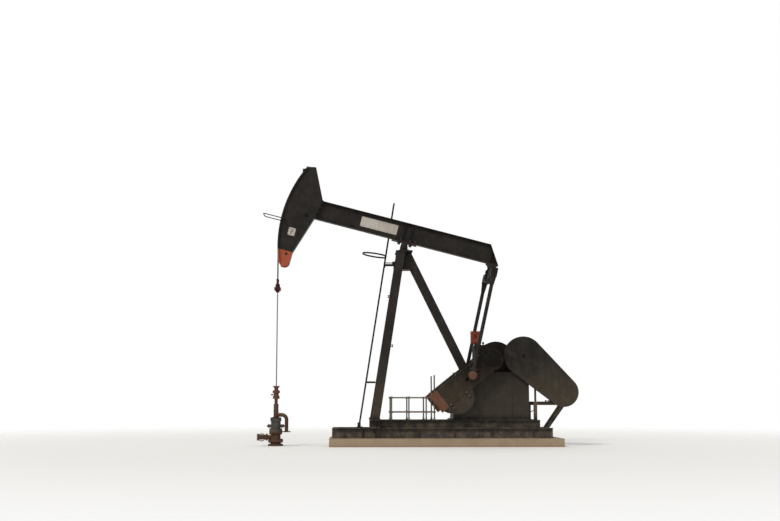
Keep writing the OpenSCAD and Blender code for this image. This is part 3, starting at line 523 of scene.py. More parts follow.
class Paints:
    """Every finish of the machine."""

    dark = Finish("near_black_paint", tint(25, 22, 20), tint(42, 37, 33), dust=0.13, rust=0.12)
    deck = Finish("deck_paint", tint(33, 30, 26), tint(54, 49, 43), dust=0.34, rust=0.2)
    case = Finish("pedestal_paint", tint(31, 28, 25), tint(45, 41, 38), dust=0.1, rust=0.15)
    skid = Finish("skid_paint", tint(52, 47, 45), tint(72, 66, 62), Slot.SKID, dust=0.36, rust=0.26, dull=0.65)
    guard = Finish("guard_paint", tint(26, 23, 20), tint(45, 41, 37), fade=0.8, dust=0.2, rust=0.12, dull=0.65)
    cast = Finish("gear_case_paint", tint(15, 13, 11), tint(34, 28, 24), Slot.CAST, dust=0.12, rust=0.15, dull=0.8,
                  relief=0.004)
    saddle = Finish("saddle_red_oxide", tint(40, 25, 22), tint(52, 34, 28), dust=0.16, rust=0.3)
    orange = Finish("warning_orange", tint(156, 74, 48), tint(138, 84, 62), Slot.ORANGE, dust=0.16, rust=0.16)
    worn_orange = Finish("worn_orange", tint(118, 52, 32), tint(98, 58, 44), Slot.ORANGE, dust=0.2, rust=0.3)
    grimy_orange = Finish("grimy_orange", tint(94, 51, 38), tint(82, 57, 47), Slot.ORANGE, dust=0.18, rust=0.3)
    carrier = Finish("carrier_red", tint(60, 22, 22), tint(70, 36, 32), Slot.RED, dust=0.1, rust=0.3)
    hoop = Finish("dark_tube", tint(24, 25, 26), tint(38, 38, 37), Slot.STEEL, dust=0.1, rust=0.2)
    grease = Finish("greasy_iron", tint(15, 13, 11), tint(27, 23, 20), dust=0.05, rust=0.1, dull=0.5, shine=0.08)
    iron = Finish("rusty_iron", tint(62, 41, 31), tint(86, 63, 48), Slot.IRON, dust=0.26, rust=0.6, dull=0.75)
    valve = Finish("valve_grey", tint(54, 57, 56), tint(76, 75, 70), Slot.VALVE, dust=0.26, rust=0.3)
    box_red = Finish("stuffing_box_red", tint(84, 42, 35), tint(98, 64, 53), Slot.RED, dust=0.2, rust=0.3)
    motor = Finish("motor_paint", tint(52, 50, 48), tint(72, 68, 63), Slot.MOTOR, dust=0.35, rust=0.15)
    pipe = Finish("grey_pipe", tint(84, 83, 80), tint(108, 104, 97), Slot.STEEL, metal=0.2, rust=0.3, shine=0.3)
    bolt = Finish("bolt_steel", tint(54, 47, 42), tint(76, 67, 58), Slot.STEEL, dust=0.24, rust=0.5, metal=0.3,
                  dull=0.6, shine=0.3)
    bright = Finish("polished_steel", tint(122, 127, 132), tint(112, 116, 121), Slot.STEEL, fade=0.2, dust=0.05,
                    rust=0.0, dull=0.26, metal=1.0, shine=0.5, relief=0.0003)
    rubber = Finish("belt_rubber", tint(26, 25, 24), tint(46, 44, 42), Slot.RUBBER, rust=0.0, dull=0.8)
    sign = Finish("bare_sign_white", tint(184, 176, 166), tint(158, 146, 134), Slot.WHITE, fade=0.8, rust=0.08,
                  dull=0.5, shine=0.3, relief=0.0006)
    rope = RopeFinish("bridle_rope", tint(20, 18, 16), tint(34, 31, 28), Slot.ROPE, dust=0.1, lay=38.0)
    concrete = ConcreteFinish("block_concrete", tint(148, 130, 107), tint(124, 106, 85), Slot.CONCRETE, shine=0.2,
                              relief=0.004, depth=0.8)


def tipped(plain: Finish, tip: Finish, frame_of: Matrix, way: Point, start: Vector, reach: float,
           **looks: object) -> TippedFinish:
    """Make a finish whose paint changes at a distance from a point, along a direction in a part's frame."""
    across = frame_of.to_3x3() @ Vector(way)
    return TippedFinish(base=plain.base, faded=plain.faded, rust=0.12, tip=tip, across=tuple(across),
                        at=across.dot(start) + reach, **looks)


def only(obj: Mesh | None = None) -> Mesh | None:
    """Leave edit mode and deselect everything, then select one object alone.

    Args:
        obj: The object, or None for none.

    Returns:
        The same object.
    """
    if bpy.context.object and bpy.context.object.mode != "OBJECT":
        bpy.ops.object.mode_set(mode="OBJECT")
    bpy.ops.object.select_all(action="DESELECT")
    if obj is not None:
        obj.select_set(True)
        bpy.context.view_layer.objects.active = obj
    return obj


def finish_solid(obj: Mesh, width: float) -> Mesh:
    """Close edit mode on an extruded piece, round its edges and shade it smooth across small angles.

    Args:
        obj: The piece.
        width: Width of the rounded edges.

    Returns:
        The same piece.
    """
    bpy.ops.mesh.select_all(action="SELECT")
    bpy.ops.mesh.normals_make_consistent(inside=False)
    bpy.ops.object.mode_set(mode="OBJECT")
    only(obj)
    if width > 0:
        bevel = obj.modifiers.new("round", "BEVEL")
        bevel.width, bevel.segments, bevel.limit_method = width, 2, "ANGLE"
        bevel.angle_limit = radians(35)
        bpy.ops.object.modifier_apply(modifier=bevel.name)
    bpy.ops.object.shade_smooth_by_angle(angle=SMOOTH)
    return obj


def start_disc(sides: int, radius: float) -> Mesh:
    """Add a filled circle as the start of a solid and return it.

    Args:
        sides: Its corners.
        radius: Its radius.

    Returns:
        The circle.
    """
    only()
    bpy.ops.mesh.primitive_circle_add(vertices=sides, radius=radius, fill_type="NGON")
    return bpy.context.object


def boss(at: Point, way: Point, steps: Sequence[Flat], sides: int = 24, width: float = 0.003) -> Mesh:
    """Turn a stepped round piece that stands on a point.

    Args:
        at: The point.
        way: The direction that it stands in.
        steps: Radius and length of each step, from below.
        sides: Sides of the round.
        width: Width of the rounded edges.

    Returns:
        The piece.
    """
    height, radius = 0.0, steps[0][0]
    obj = start_disc(sides, radius)
    bpy.ops.object.mode_set(mode="EDIT")
    bpy.ops.mesh.select_all(action="SELECT")
    for index, (wide, long) in enumerate(steps):
        if index and abs(wide - radius) > 1e-6:
            bpy.ops.mesh.extrude_region_move(TRANSFORM_OT_translate={"value": (0, 0, 0)})
            scale = wide / radius
            bpy.ops.transform.resize(value=(scale, scale, 1), center_override=(0, 0, height))
        radius = wide
        bpy.ops.mesh.extrude_region_move(TRANSFORM_OT_translate={"value": (0, 0, long)})
        height += long
    finish_solid(obj, width)
    obj.data.transform(facing(at, way))
    return obj


def plate(outline: Sequence[Flat], thick: float, width: float = 0.003, place: Matrix | None = None) -> Mesh:
    """Cut a plate from its outline in X and Z, centred on Y.

    Args:
        outline: Corners of the outline, in order.
        thick: Thickness.
        width: Width of the rounded edges.
        place: Where it goes.

    Returns:
        The plate.
    """
    obj = start_disc(len(outline), 1)
    for vertex, (x, z) in zip(obj.data.vertices, outline):
        vertex.co = (x, -thick / 2, z)
    bpy.ops.object.mode_set(mode="EDIT")
    bpy.ops.mesh.select_all(action="SELECT")
    bpy.ops.mesh.extrude_region_move(TRANSFORM_OT_translate={"value": (0, thick, 0)})
    finish_solid(obj, width)
    if place is not None:
        obj.data.transform(place)
    return obj


def slab(x: Flat, y: Flat, z: Flat, width: float = 0.003) -> Mesh:
    """Make a block from its ranges along X, Y and Z, with edges rounded to a width."""
    outline = [(x[0], z[0]), (x[1], z[0]), (x[1], z[1]), (x[0], z[1])]
    return plate(outline, y[1] - y[0], width, Matrix.Translation((0, (y[0] + y[1]) / 2, 0)))


def about(middle: float, reach: float) -> Flat:
    """Range that reaches equally far to both sides of a middle."""
    return middle - reach, middle + reach


def rod(points: Sequence[Point], radius: float, sides: int = 10, round_off: float = 0.0) -> Mesh:
    """Bend a round rod along points.

    Args:
        points: Points along its middle.
        radius: Its radius.
        sides: Sides of the round.
        round_off: How far before a corner the bend starts.

    Returns:
        The rod as a mesh.
    """
    path = [Vector(points[0])]
    for before, at, after in zip(points, points[1:], points[2:]):
        at, back, on = Vector(at), Vector(before) - Vector(at), Vector(after) - Vector(at)
        reach = min(round_off, back.length / 2.2, on.length / 2.2)
        start, end = at + back.normalized() * reach, at + on.normalized() * reach
        shares = [step / 5 for step in range(6)] if reach > 0 else [0.0]
        path += [(1 - t) ** 2 * start + 2 * t * (1 - t) * at + t ** 2 * end for t in shares]
    path.append(Vector(points[-1]))
    curve = bpy.data.curves.new("rod", "CURVE")
    curve.dimensions, curve.bevel_depth, curve.bevel_resolution = "3D", radius, max(0, sides // 4 - 1)
    curve.use_fill_caps = True
    spline = curve.splines.new("POLY")
    spline.points.add(len(path) - 1)
    for point, place in zip(spline.points, path):
        point.co = (*place, 1)
    obj = bpy.data.objects.new("rod", curve)
    bpy.context.collection.objects.link(obj)
    only(obj)
    bpy.ops.object.convert(target="MESH")
    bpy.ops.object.shade_smooth_by_angle(angle=SMOOTH)
    return bpy.context.object


def ring(at: Point, way: Point, radius: float, thin: float, sides: int = 40) -> Mesh:
    """Make a ring of round bar.

    Args:
        at: Its middle.
        way: Its axis.
        radius: Radius of the ring's middle.
        thin: Radius of the bar.
        sides: Steps round the ring.

    Returns:
        The ring.
    """
    only()
    bpy.ops.mesh.primitive_torus_add(major_radius=radius, minor_radius=thin, major_segments=sides,
                                     minor_segments=10)
    obj = bpy.context.object
    obj.data.transform(facing(at, way))
    bpy.ops.object.shade_smooth_by_angle(angle=ROUND_SMOOTH)
    return obj


def bored(obj: Mesh, at: Point, way: Point, radius: float, sides: int) -> Mesh:
    """Bore a round hole through a piece.

    Args:
        obj: The piece.
        at: Where the cutter starts.
        way: Its direction.
        radius: The hole's radius.
        sides: Sides of the round.

    Returns:
        The same piece.
    """
    cutter = boss(at, way, [(radius, 0.1)], sides, 0)
    only(obj)
    hole = obj.modifiers.new("bore", "BOOLEAN")
    hole.object, hole.operation = cutter, "DIFFERENCE"
    bpy.ops.object.modifier_apply(modifier=hole.name)
    bpy.data.objects.remove(cutter)
    return obj


def facing(at: Point, way: Point) -> Matrix:
    """Place that turns local Z to a direction, at a point."""
    return Matrix.Translation(at) @ Vector(way).to_track_quat("Z", "Y").to_matrix().to_4x4()


def outward(side: int) -> Point:
    """Direction out of a side, along Y."""
    return (0.0, float(side), 0.0)


def grid(xs: Iterable[float], ys: Iterable[float], z: float, way: Point) -> list[Spot]:
    """Spots in rows at one height, all facing one way."""
    return [((x, y, z), way) for x in xs for y in ys]


def circle_spots(centre: Point, way: Point, radius: float, count: int, start: float = 0.0) -> list[Spot]:
    """Spots on a circle that face along its axis, from a first angle in degrees."""
    place, angles = facing(centre, way), (radians(start + 360 * i / count) for i in range(count))
    return [(tuple(place @ Vector((radius * cos(a), radius * sin(a), 0))), way) for a in angles]


def join(name: str, parts: Sequence[Mesh]) -> Mesh:
    """Join parts into one piece.

    Args:
        name: The piece's name.
        parts: The parts.

    Returns:
        The piece.
    """
    only(parts[0])
    for part in parts[1:]:
        part.select_set(True)
    if len(parts) > 1:
        bpy.ops.object.join()
    obj = bpy.context.object
    obj.name = obj.data.name = name
    return obj


def copies(source: Mesh, places: Iterable[Matrix]) -> list[Mesh]:
    """Copy a part to places, each copy with its own mesh, and remove the source.

    Args:
        source: The part, made at the origin.
        places: Where the copies go.

    Returns:
        The copies.
    """
    made = []
    for place in places:
        copy = source.copy()
        copy.data = source.data.copy()
        copy.data.transform(place)
        bpy.context.collection.objects.link(copy)
        made.append(copy)
    bpy.data.objects.remove(source)
    return made


def bolt(size: float, style: BoltStyle) -> Mesh:
    """Make one hexagon bolt head or stud nut on a washer, standing on the origin.

    Args:
        size: Thread diameter.
        style: Head or stud with nut.

    Returns:
        The bolt.
    """
    parts = [boss((0, 0, 0), UP, [(size * 1.15, size * 0.16)], 14, 0),
             boss((0, 0, size * 0.15), UP, [(size * 0.98, size * 0.62), (size * 0.84, size * 0.1)], 6, 0)]
    if style is BoltStyle.STUD:
        parts.append(boss((0, 0, size * 0.84), UP, [(size * 0.5, size * 0.5), (size * 0.38, size * 0.1)], 10, 0))
    return join("bolt", parts)


@dataclass
class Assembly:
    """A sub-assembly whose small parts share a body and a frame.

    Attributes:
        body: What they ride on.
        place: Frame that they are made in, or None for the shared one.
    """

    body: Body = Body.BASE
    place: Matrix | None = None

    def piece(self, name: str, parts: Sequence[Mesh], finish: Finish, slot: Slot | None = None,
              rides: bool = True) -> Mesh:
        """Join parts into one dressed piece in the shared frame.

        Args:
            name: The piece's name.
            parts: Its parts.
            finish: Its finish.
            slot: The record's slot, where it isn't the finish's own; not used.
            rides: Whether the whole of it rides on the body.

        Returns:
            The piece.
        """
        obj = only(join(name, parts))
        bpy.ops.object.transform_apply(location=True, rotation=True, scale=True)
        if self.place is not None:
            obj.data.transform(self.place)
        finish.put_on(obj.data)
        if rides:
            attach(obj, self.body.value)
        LOG.info("made %s, %d faces, with %s", obj.name, len(obj.data.polygons), self.body.value)
        return obj

    def bolts(self, name: str, spots: Sequence[Spot], size: float, style: BoltStyle = BoltStyle.HEAD,
              finish: Finish = Paints.bolt) -> Mesh:
        """Put bolts of one size and style at spots, each turned a little, as one piece."""
        places = [facing(at, way) @ turn("Z", radians(17 * i % 60)) for i, (at, way) in enumerate(spots)]
        return self.piece(name, copies(bolt(size, style), places), finish)

    def rope(self, name: str, paths: Sequence[Sequence[Point]], node: str, start: Point, end: Point) -> Mesh:
        """Lay ropes that stand for a CAD node, hide that node and fix the ropes in place in the world.

        Args:
            name: The piece's name.
            paths: Points along each rope.
            node: The CAD node that it replaces.
            start: Where it would still follow the base; not used.
            end: Where it would follow the body; not used.

        Returns:
            The piece.
        """
        obj = self.piece(name, [rod(path, ROPE_RADIUS, 16) for path in paths], Paints.rope, rides=False)
        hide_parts(node)
        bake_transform(obj)
        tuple(start)
        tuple(end)
        return obj


@dataclass
class Studio:
    """Floor, light and camera.

    Attributes:
        eye: Where the camera stands.
        pitch: How far it looks up, in degrees.
        yaw: How far it looks to the right, in degrees.
        lens: Focal length in millimetres.
    """

    eye: Point = (-1.62475, -33.9, 1.34664)
    pitch: float = 7.46
    yaw: float = 2.01
    lens: float = 49.85

    def build(self) -> None:
        """Make the camera, floor, world and sun."""
        data = bpy.data.cameras.new("camera")
        data.lens, data.sensor_width, data.clip_end = self.lens, 36.0, 400.0
        camera = self.stand("camera", data, (radians(90 + self.pitch), 0, radians(-self.yaw)))
        camera.location = self.eye
        bpy.context.scene.camera = camera
        self.floor()
        self.sky()
        lamp = bpy.data.lights.new("soft_sun", "SUN")
        lamp.energy, lamp.angle, lamp.color = 1.5, radians(14), (1.0, 0.96, 0.9)
        self.stand("soft_sun", lamp, (radians(48), 0, radians(-38)))

    def stand(self, name: str, data: bpy.types.ID, angles: Point) -> Mesh:
        """Link a camera or lamp, turned by three angles, and return it.

        Args:
            name: Its name.
            data: Its camera or light data.
            angles: Its turns about X, Y and Z.

        Returns:
            The object.
        """
        obj = bpy.data.objects.new(name, data)
        obj.rotation_euler = angles
        bpy.context.collection.objects.link(obj)
        return obj

    def floor(self) -> None:
        """Make the pale floor, which fades out far from the machine."""
        floor = start_disc(96, 60)
        floor.name = "studio_floor"
        material, tree = new_material("pale_floor")
        skin = tree.put("BsdfPrincipled", {"Base Color": (*tint(236, 233, 228), 1), "Roughness": 0.9,
                                           "Specular IOR Level": 0.1})
        away = tree.put("VectorMath", {0: tree.put("TexCoord").outputs["Object"]}, operation="LENGTH")
        clear = tree.put("BsdfTransparent")
        fade = tree.ramp(away.outputs["Value"], 9, 30)
        mix = tree.put("MixShader", {0: fade, 1: skin.outputs[0], 2: clear.outputs[0]})
        tree.put("OutputMaterial", {0: mix.outputs[0]})
        floor.data.materials.append(material)

    def sky(self) -> None:
        """Light the scene from a plain sky, with a white background."""
        world = bpy.data.worlds.new("plain_sky")
        bpy.context.scene.world = world
        world.use_nodes = True
        tree = Tree(world.node_tree)
        ray = tree.put("LightPath").outputs
        seen = tree.maths("MAXIMUM", ray["Is Camera Ray"], ray["Is Glossy Ray"])
        seen = tree.maths("MAXIMUM", seen, ray["Is Transmission Ray"])
        sky = tree.put("Background", {0: (0.93, 0.965, 1.0, 1), 1: 0.72}).outputs[0]
        white = tree.put("Background", {0: (1, 1, 1, 1), 1: 1.0}).outputs[0]
        mix = tree.put("MixShader", {0: seen, 1: sky, 2: white})
        tree.put("OutputWorld", {0: mix.outputs[0]})


@dataclass
class Foundation(Assembly):
    """Concrete block and steel skid.

    Attributes:
        block: Height of the block's top.
        rail: Height of the lower rails' top.
        rail_y: Middle of each lower rail.
        upper_y: Middle of each upper rail.
    """

    block: float = 0.25
    rail: float = 0.56
    rail_y: float = 0.64
    upper_y: float = 0.60

    def build(self) -> None:
        """Dress the block and skid, clamp the rails down, and add web plates and bolts."""
        dress(Paints.concrete, "foundation_block")
        dress(Paints.skid, "lower_rails", "cross_beams")
        dress(Paints.deck, "upper_rails", "foot_beam")
        clamps, studs, through = [], [], []
        for side in SIDES:
            y = side * (self.rail_y + 0.145)
            heel, top = y - side * 0.045, self.block + 0.02
            for x in (-1.85, -0.35, 0.95, 2.1, 3.25, 4.2):
                clamps.append(slab(about(x, 0.07), about(y, 0.06), (self.block, top)))
                clamps.append(slab(about(x, 0.05), (heel - 0.04, heel + 0.035), (top - 0.002, top + 0.016)))
                studs.append(((x, y + side * 0.012, top), UP))
            for x in (-0.55, 0.5, 1.35, 2.3, 3.1, 3.98):
                y = side * (self.upper_y + 0.065)
                through += [((x, y, self.rail + 0.018), UP), ((x, y, self.rail - 0.018), DOWN)]
            through += grid((-1.02, -0.81), (side * 0.93,), self.rail + 0.018, UP)
        self.piece("hold_down_clamps", clamps, Paints.iron)
        self.bolts("hold_down_studs", studs, 0.03, BoltStyle.STUD)
        tall = (self.block + 0.02, self.rail - 0.02)
        webs = [slab(about(x, 0.006), about(side * (self.rail_y + 0.05), 0.042), tall, 0.002)
                for side in SIDES for x in (-1.3, -0.915, 0.4, 1.5, 2.65, 3.9)]
        self.piece("rail_stiffeners", webs, Paints.skid)
        self.bolts("flange_bolts", through, 0.022)


@dataclass
class SamsonPost(Assembly):
    """The three-legged post with its bearings.

    Attributes:
        foot_x: Front feet along X.
        foot_y: Half the spread of the front feet.
        rear_x: Rear foot along X.
        rear_z: Top of the rear foot plate.
        front_z: Top of the front foot plates.
        cap_z: Top of the cap plate.
        leg: Width of a leg.
        leg_top: Height where the legs' middles meet the cap.
        lean: How far a front leg runs along X for each metre of height.
        splay: How far it runs across the machine.
        rear_lean: How far the rear leg runs along X.
    """

    foot_x: float = -0.915
    foot_y: float = 0.85
    rear_x: float = 1.93
    rear_z: float = 2.287
    front_z: float = 0.825
    cap_z: float = 6.06
    leg: float = 0.26
    leg_top: float = 6.02
    lean: float = 0.156
    splay: float = 0.1054
    rear_lean: float = 0.4934

    def build(self) -> None:
        """Dress the post and add foot studs, ribs, clips, top bolts and bearing caps."""
        dress(Paints.dark, "front_leg_near", "front_leg_far", "rear_leg", "leg_braces", "post_top")
        dress(Paints.saddle, "saddle_bearings")
        studs = []
        for side in SIDES:
            studs += grid(about(self.foot_x, 0.1344), about(side * self.foot_y, 0.1344), self.front_z, UP)
        studs += grid(about(self.rear_x, 0.165), (-0.165, 0.165), self.rear_z, UP)
        self.bolts("foot_studs", studs, 0.026, BoltStyle.STUD)
        ribs = [slab(about(self.foot_x, 0.012), about(side * (self.foot_y + 0.128), 0.01),
                     (self.front_z, self.front_z + 0.1), 0.002) for side in SIDES]
        self.piece("foot_ribs", ribs, Paints.dark)
        self.leg_clips()
        self.top_bolts()
        shape = [(0.085, 0.012), (0.05, 0.006)]
        caps = [boss((0, side * 0.3055, LINKAGE.saddle.z), outward(side), shape, 32) for side in SIDES]
        Assembly(Body.BEAM).piece("saddle_pin_caps", caps, Paints.dark)
        shape = [(0.012, 0.02), (0.007, 0.014), (0.009, 0.008)]
        nipples = [boss((0, side * 0.215, LINKAGE.saddle.z + 0.108), UP, shape, 10, 0.001) for side in SIDES]
        self.piece("grease_nipples", nipples, Paints.bolt)

    def front_leg_x(self, z: float) -> float:
        """Middle of a front leg along X at a height."""
        return -0.101 + (z - self.leg_top) * self.lean

    def leg_clips(self) -> None:
        """Small pipe clips on the near front leg, one on its front and one on its back."""
        parts = []
        for z, side in ((4.60, -1), (3.06, 1)):
            x, y = self.front_leg_x(z) + side * self.leg / 2, -0.3 - (self.leg_top - z) * self.splay
            jaw = tuple(sorted((x - side * 0.02, x + side * 0.072)))
            parts += [slab(jaw, about(y, 0.05), about(z + dz, 0.009), 0.004) for dz in (-0.024, 0.024)]
            parts.append(rod([(x + side * 0.052, y, z - 0.045), (x + side * 0.052, y, z + 0.045)], 0.011))
        self.piece("leg_clips", parts, Paints.dark)

    def top_bolts(self) -> None:
        """Rows of bolts on the gusset plates and at the bearings."""
        spots = []
        for side in SIDES:
            for z in (5.55, 5.68, 5.81, 5.94):
                rows = (*about(self.front_leg_x(z), 0.06), 0.14 - (z - self.leg_top) * self.rear_lean)
                spots += grid(rows, (side * 0.1488,), z, outward(side))
            spots += grid((-0.125, 0.125), (side * 0.215,), self.cap_z + 0.035, UP)
        self.bolts("post_top_bolts", spots, 0.024)


@dataclass
class WalkingBeam(Assembly):
    """The beam, its saddle casting and its tail bracket.

    Attributes:
        low: Underside of the beam in its own frame.
        high: Top of the beam.
        front: Where the head's back plate meets the beam, low and high.
    """

    body: Body = Body.BEAM
    place: Matrix | None = LINKAGE.in_beam
    low: float = 0.158
    high: float = 0.770
    front: Flat = (-2.976, -2.852)

    def build(self) -> None:
        """Dress the beam and add its bolts, saddle blocks and corner plates."""
        dress(Paints.dark, "walking_beam", "tail_hangers")
        dress(Paints.saddle, "saddle_casting")
        clamps, ends, tail = [], [], []
        deep, slope = self.high - self.low, self.front[1] - self.front[0]
        lean = atan2(slope, deep)
        for side in SIDES:
            clamps += grid((-0.37, -0.15, 0.15, 0.32), (side * 0.132,), self.low + 0.05, UP)
            for share in (0.12 + 0.76 * step / 3 for step in range(4)):
                spot = (self.front[0] + share * slope + 0.0262, side * 0.132, self.low + share * deep)
                ends.append((spot, (cos(lean), 0, -sin(lean))))
            for x in (2.70, 2.82, 2.95):
                tail += [((x, side * 0.085, self.low + 0.024), UP), ((x, side * 0.115, self.low - 0.03), DOWN)]
        self.bolts("saddle_clamp_studs", clamps, 0.03, BoltStyle.STUD)
        blocks = [slab(about(x, 0.045), (-0.15, 0.15), (0.058, 0.121), 0.01) for x in (-0.185, 0.185)]
        self.piece("saddle_stop_blocks", blocks, Paints.dark)
        self.bolts("head_joint_bolts", ends, 0.024)
        self.bolts("tail_bracket_bolts", tail, 0.024)
        parts = []
        for side in SIDES:
            for x in (-2.35, -1.75, 0.75, 1.4, 2.05):
                for z, up in ((self.low + 0.024, 1), (self.high - 0.024, -1)):
                    rib = [(0.007, 0), (0.1, 0), (0.1, 0.02 * up), (0.027, 0.09 * up), (0.007, 0.09 * up)]
                    place = Matrix.Translation((x, 0, z)) @ turn("Z", radians(90 * side))
                    parts.append(plate(rib, 0.01, 0.002, place))
        self.piece("beam_corner_plates", parts, Paints.dark)


@dataclass
class HorseHead(Assembly):
    """The head, its rope guard, the bridle and the number plate.

    Attributes:
        radius: Saddle bearing to the middle of the rope.
        cheek: Outer face of the cheeks.
        face: Inner radius of the curved face.
        hinge: Hinge pin in the beam's frame.
        tip_hole: Small hole near the tip.
        anchor: Angle of the ropes' anchor in the beam's frame.
    """

    body: Body = Body.BEAM
    place: Matrix | None = LINKAGE.in_beam
    radius: float = 3.970
    cheek: float = 0.166
    face: float = 3.9367
    hinge: Flat = (-3.225, 0.183)
    tip_hole: Flat = (-3.526, -1.165)
    anchor: float = radians(22.5)

    def build(self) -> None:
        """Dress the head and add its welds, hinge, guard feet, rope clamps and plates."""
        head = tipped(Paints.dark, Paints.orange, LINKAGE.in_beam, DOWN, LINKAGE.saddle, 1.066, name="head_paint",
                      dust=0.12)
        dress(head, "head_cheeks", "head_face", "head_back")
        dress(Paints.hoop, "rope_guard")
        dress(Paints.dark, "bridle_anchor")
        dress(Paints.rope, "bridle_wrap", "bridle_drop")
        dress(Paints.sign, "sign_plates")
        self.hinge_parts()
        self.face_weld(head)
        self.guard_feet()
        self.rope_clamps()
        self.ropes_on_head()
        self.plate_edges()
        self.number()

    def hinge_parts(self) -> None:
        """Collars round the hinge hole and the small hole, and hinge pins, on both cheeks."""
        collars, pins = [], []
        for side in SIDES:
            for (x, z), r, t in ((self.hinge, 0.068, 0.011), (self.tip_hole, 0.034, 0.007)):
                collars.append(ring((x, side * self.cheek, z), FAR, r, t, 36))
            at = (self.hinge[0], side * (self.cheek - 0.001), self.hinge[1])
            pins.append(boss(at, outward(side), [(0.064, 0.005), (0.036, 0.01)], 32, 0.002))
        self.piece("hole_collars", collars, Paints.dark)
        self.piece("hinge_pins", pins, Paints.cast, Slot.DARK)

    def face_weld(self, head: Finish) -> None:
        """Weld beads where the cheeks meet the curved face.

        Args:
            head: The head's finish.
        """
        angles = [radians(-21.6 + 47.0 * step / 48) for step in range(49)]
        r, y = self.face - 0.001, self.cheek + 0.001
        beads = [rod([(-r * cos(a), side * y, r * sin(a)) for a in angles], 0.008, 8) for side in SIDES]
        self.piece("face_welds", beads, head)

    def guard_feet(self) -> None:
        """Round plates and bends that hold the rope guard on the cheeks."""
        x, z, parts = 0.06 - self.face, -0.11, []
        for side in SIDES:
            parts.append(boss((x, side * self.cheek, z), outward(side), [(0.045, 0.01)], 20))
            parts.append(ring((x, side * 0.305, z), UP, 0.0165, 0.0152, 16))
        self.piece("guard_feet", parts, Paints.hoop)

    def rope_clamps(self) -> None:
        """Grip blocks and bolts of the bridle's anchor."""
        grips, spots = [], []
        x = -self.radius - 0.075
        for y in (-ROPE_Y, ROPE_Y):
            grips.append(slab((x, x + 0.03), about(y, 0.032), (0.02, 0.09)))
            spots += [((x, y + dy, z), FRONT) for z in (0.038, 0.072) for dy in (-0.021, 0.021)]
        anchor = Assembly(Body.BEAM, LINKAGE.in_beam @ turn("Y", self.anchor))
        anchor.piece("bridle_grips", grips, Paints.bolt)
        anchor.bolts("grip_bolts", spots, 0.009)

    def ropes_on_head(self) -> None:
        """The bridle's ropes over the head, from where they leave it up to the anchor."""
        top = self.anchor + LINKAGE.beam_tilt

        def on_arc(angle: float, y: float) -> Point:
            """Point of the ropes' arc at an angle above the saddle's height."""
            return -self.radius * cos(angle), y, self.radius * sin(angle) + LINKAGE.saddle.z

        angles = [-0.002] + [top * step / 40 for step in range(1, 41)]
        paths = [[on_arc(angle, y) for angle in angles] for y in (-ROPE_Y, ROPE_Y)]
        Assembly(Body.BEAM).rope("bridle_over_head", paths, "bridle_wrap", on_arc(0.0, 0.0), on_arc(top, 0.0))

    def plate_edges(self) -> None:
        """Folded edges and rivets of the bare sign and the number plate."""
        edge, parts, spots = 0.010, [], []
        panes = (((-1.52, -0.325), (0.308, 0.628), -0.0130), ((-3.655, -3.433), (-0.56, -0.314), -0.172))
        for xs, zs, y in panes:
            (x0, x1), (z0, z1) = xs, zs
            rims = ((xs, (z0, z0 + edge)), (xs, (z1 - edge, z1)), ((x0, x0 + edge), zs), ((x1 - edge, x1), zs))
            parts += [slab(x, (y - 0.003, y + 0.001), z, 0.001) for x, z in rims]
            count = max(2, round((x1 - x0) / 0.3) + 1)
            for step in range(count):
                x = x0 + 0.025 + (x1 - x0 - 0.05) * step / (count - 1)
                spots += [((x, y, z0 + 0.025), NEAR), ((x, y, z1 - 0.025), NEAR)]
        self.piece("sign_edges", parts, Paints.sign)
        self.bolts("sign_rivets", spots, 0.007, finish=Paints.pipe)

    def number(self) -> None:
        """A plain numeral on the head's plate, built from cut strips."""
        left, right, wide = -3.575, -3.505, 0.015
        strips = [((left, right), (z, z + wide)) for z in (-0.375, -0.44, -0.505)]
        strips += [((right - wide, right), (-0.44, -0.36)), ((left, left + wide), (-0.505, -0.425))]
        self.piece("plain_numeral", [slab(x, (-0.1735, -0.1718), z, 0.0004) for x, z in strips], Paints.dark)


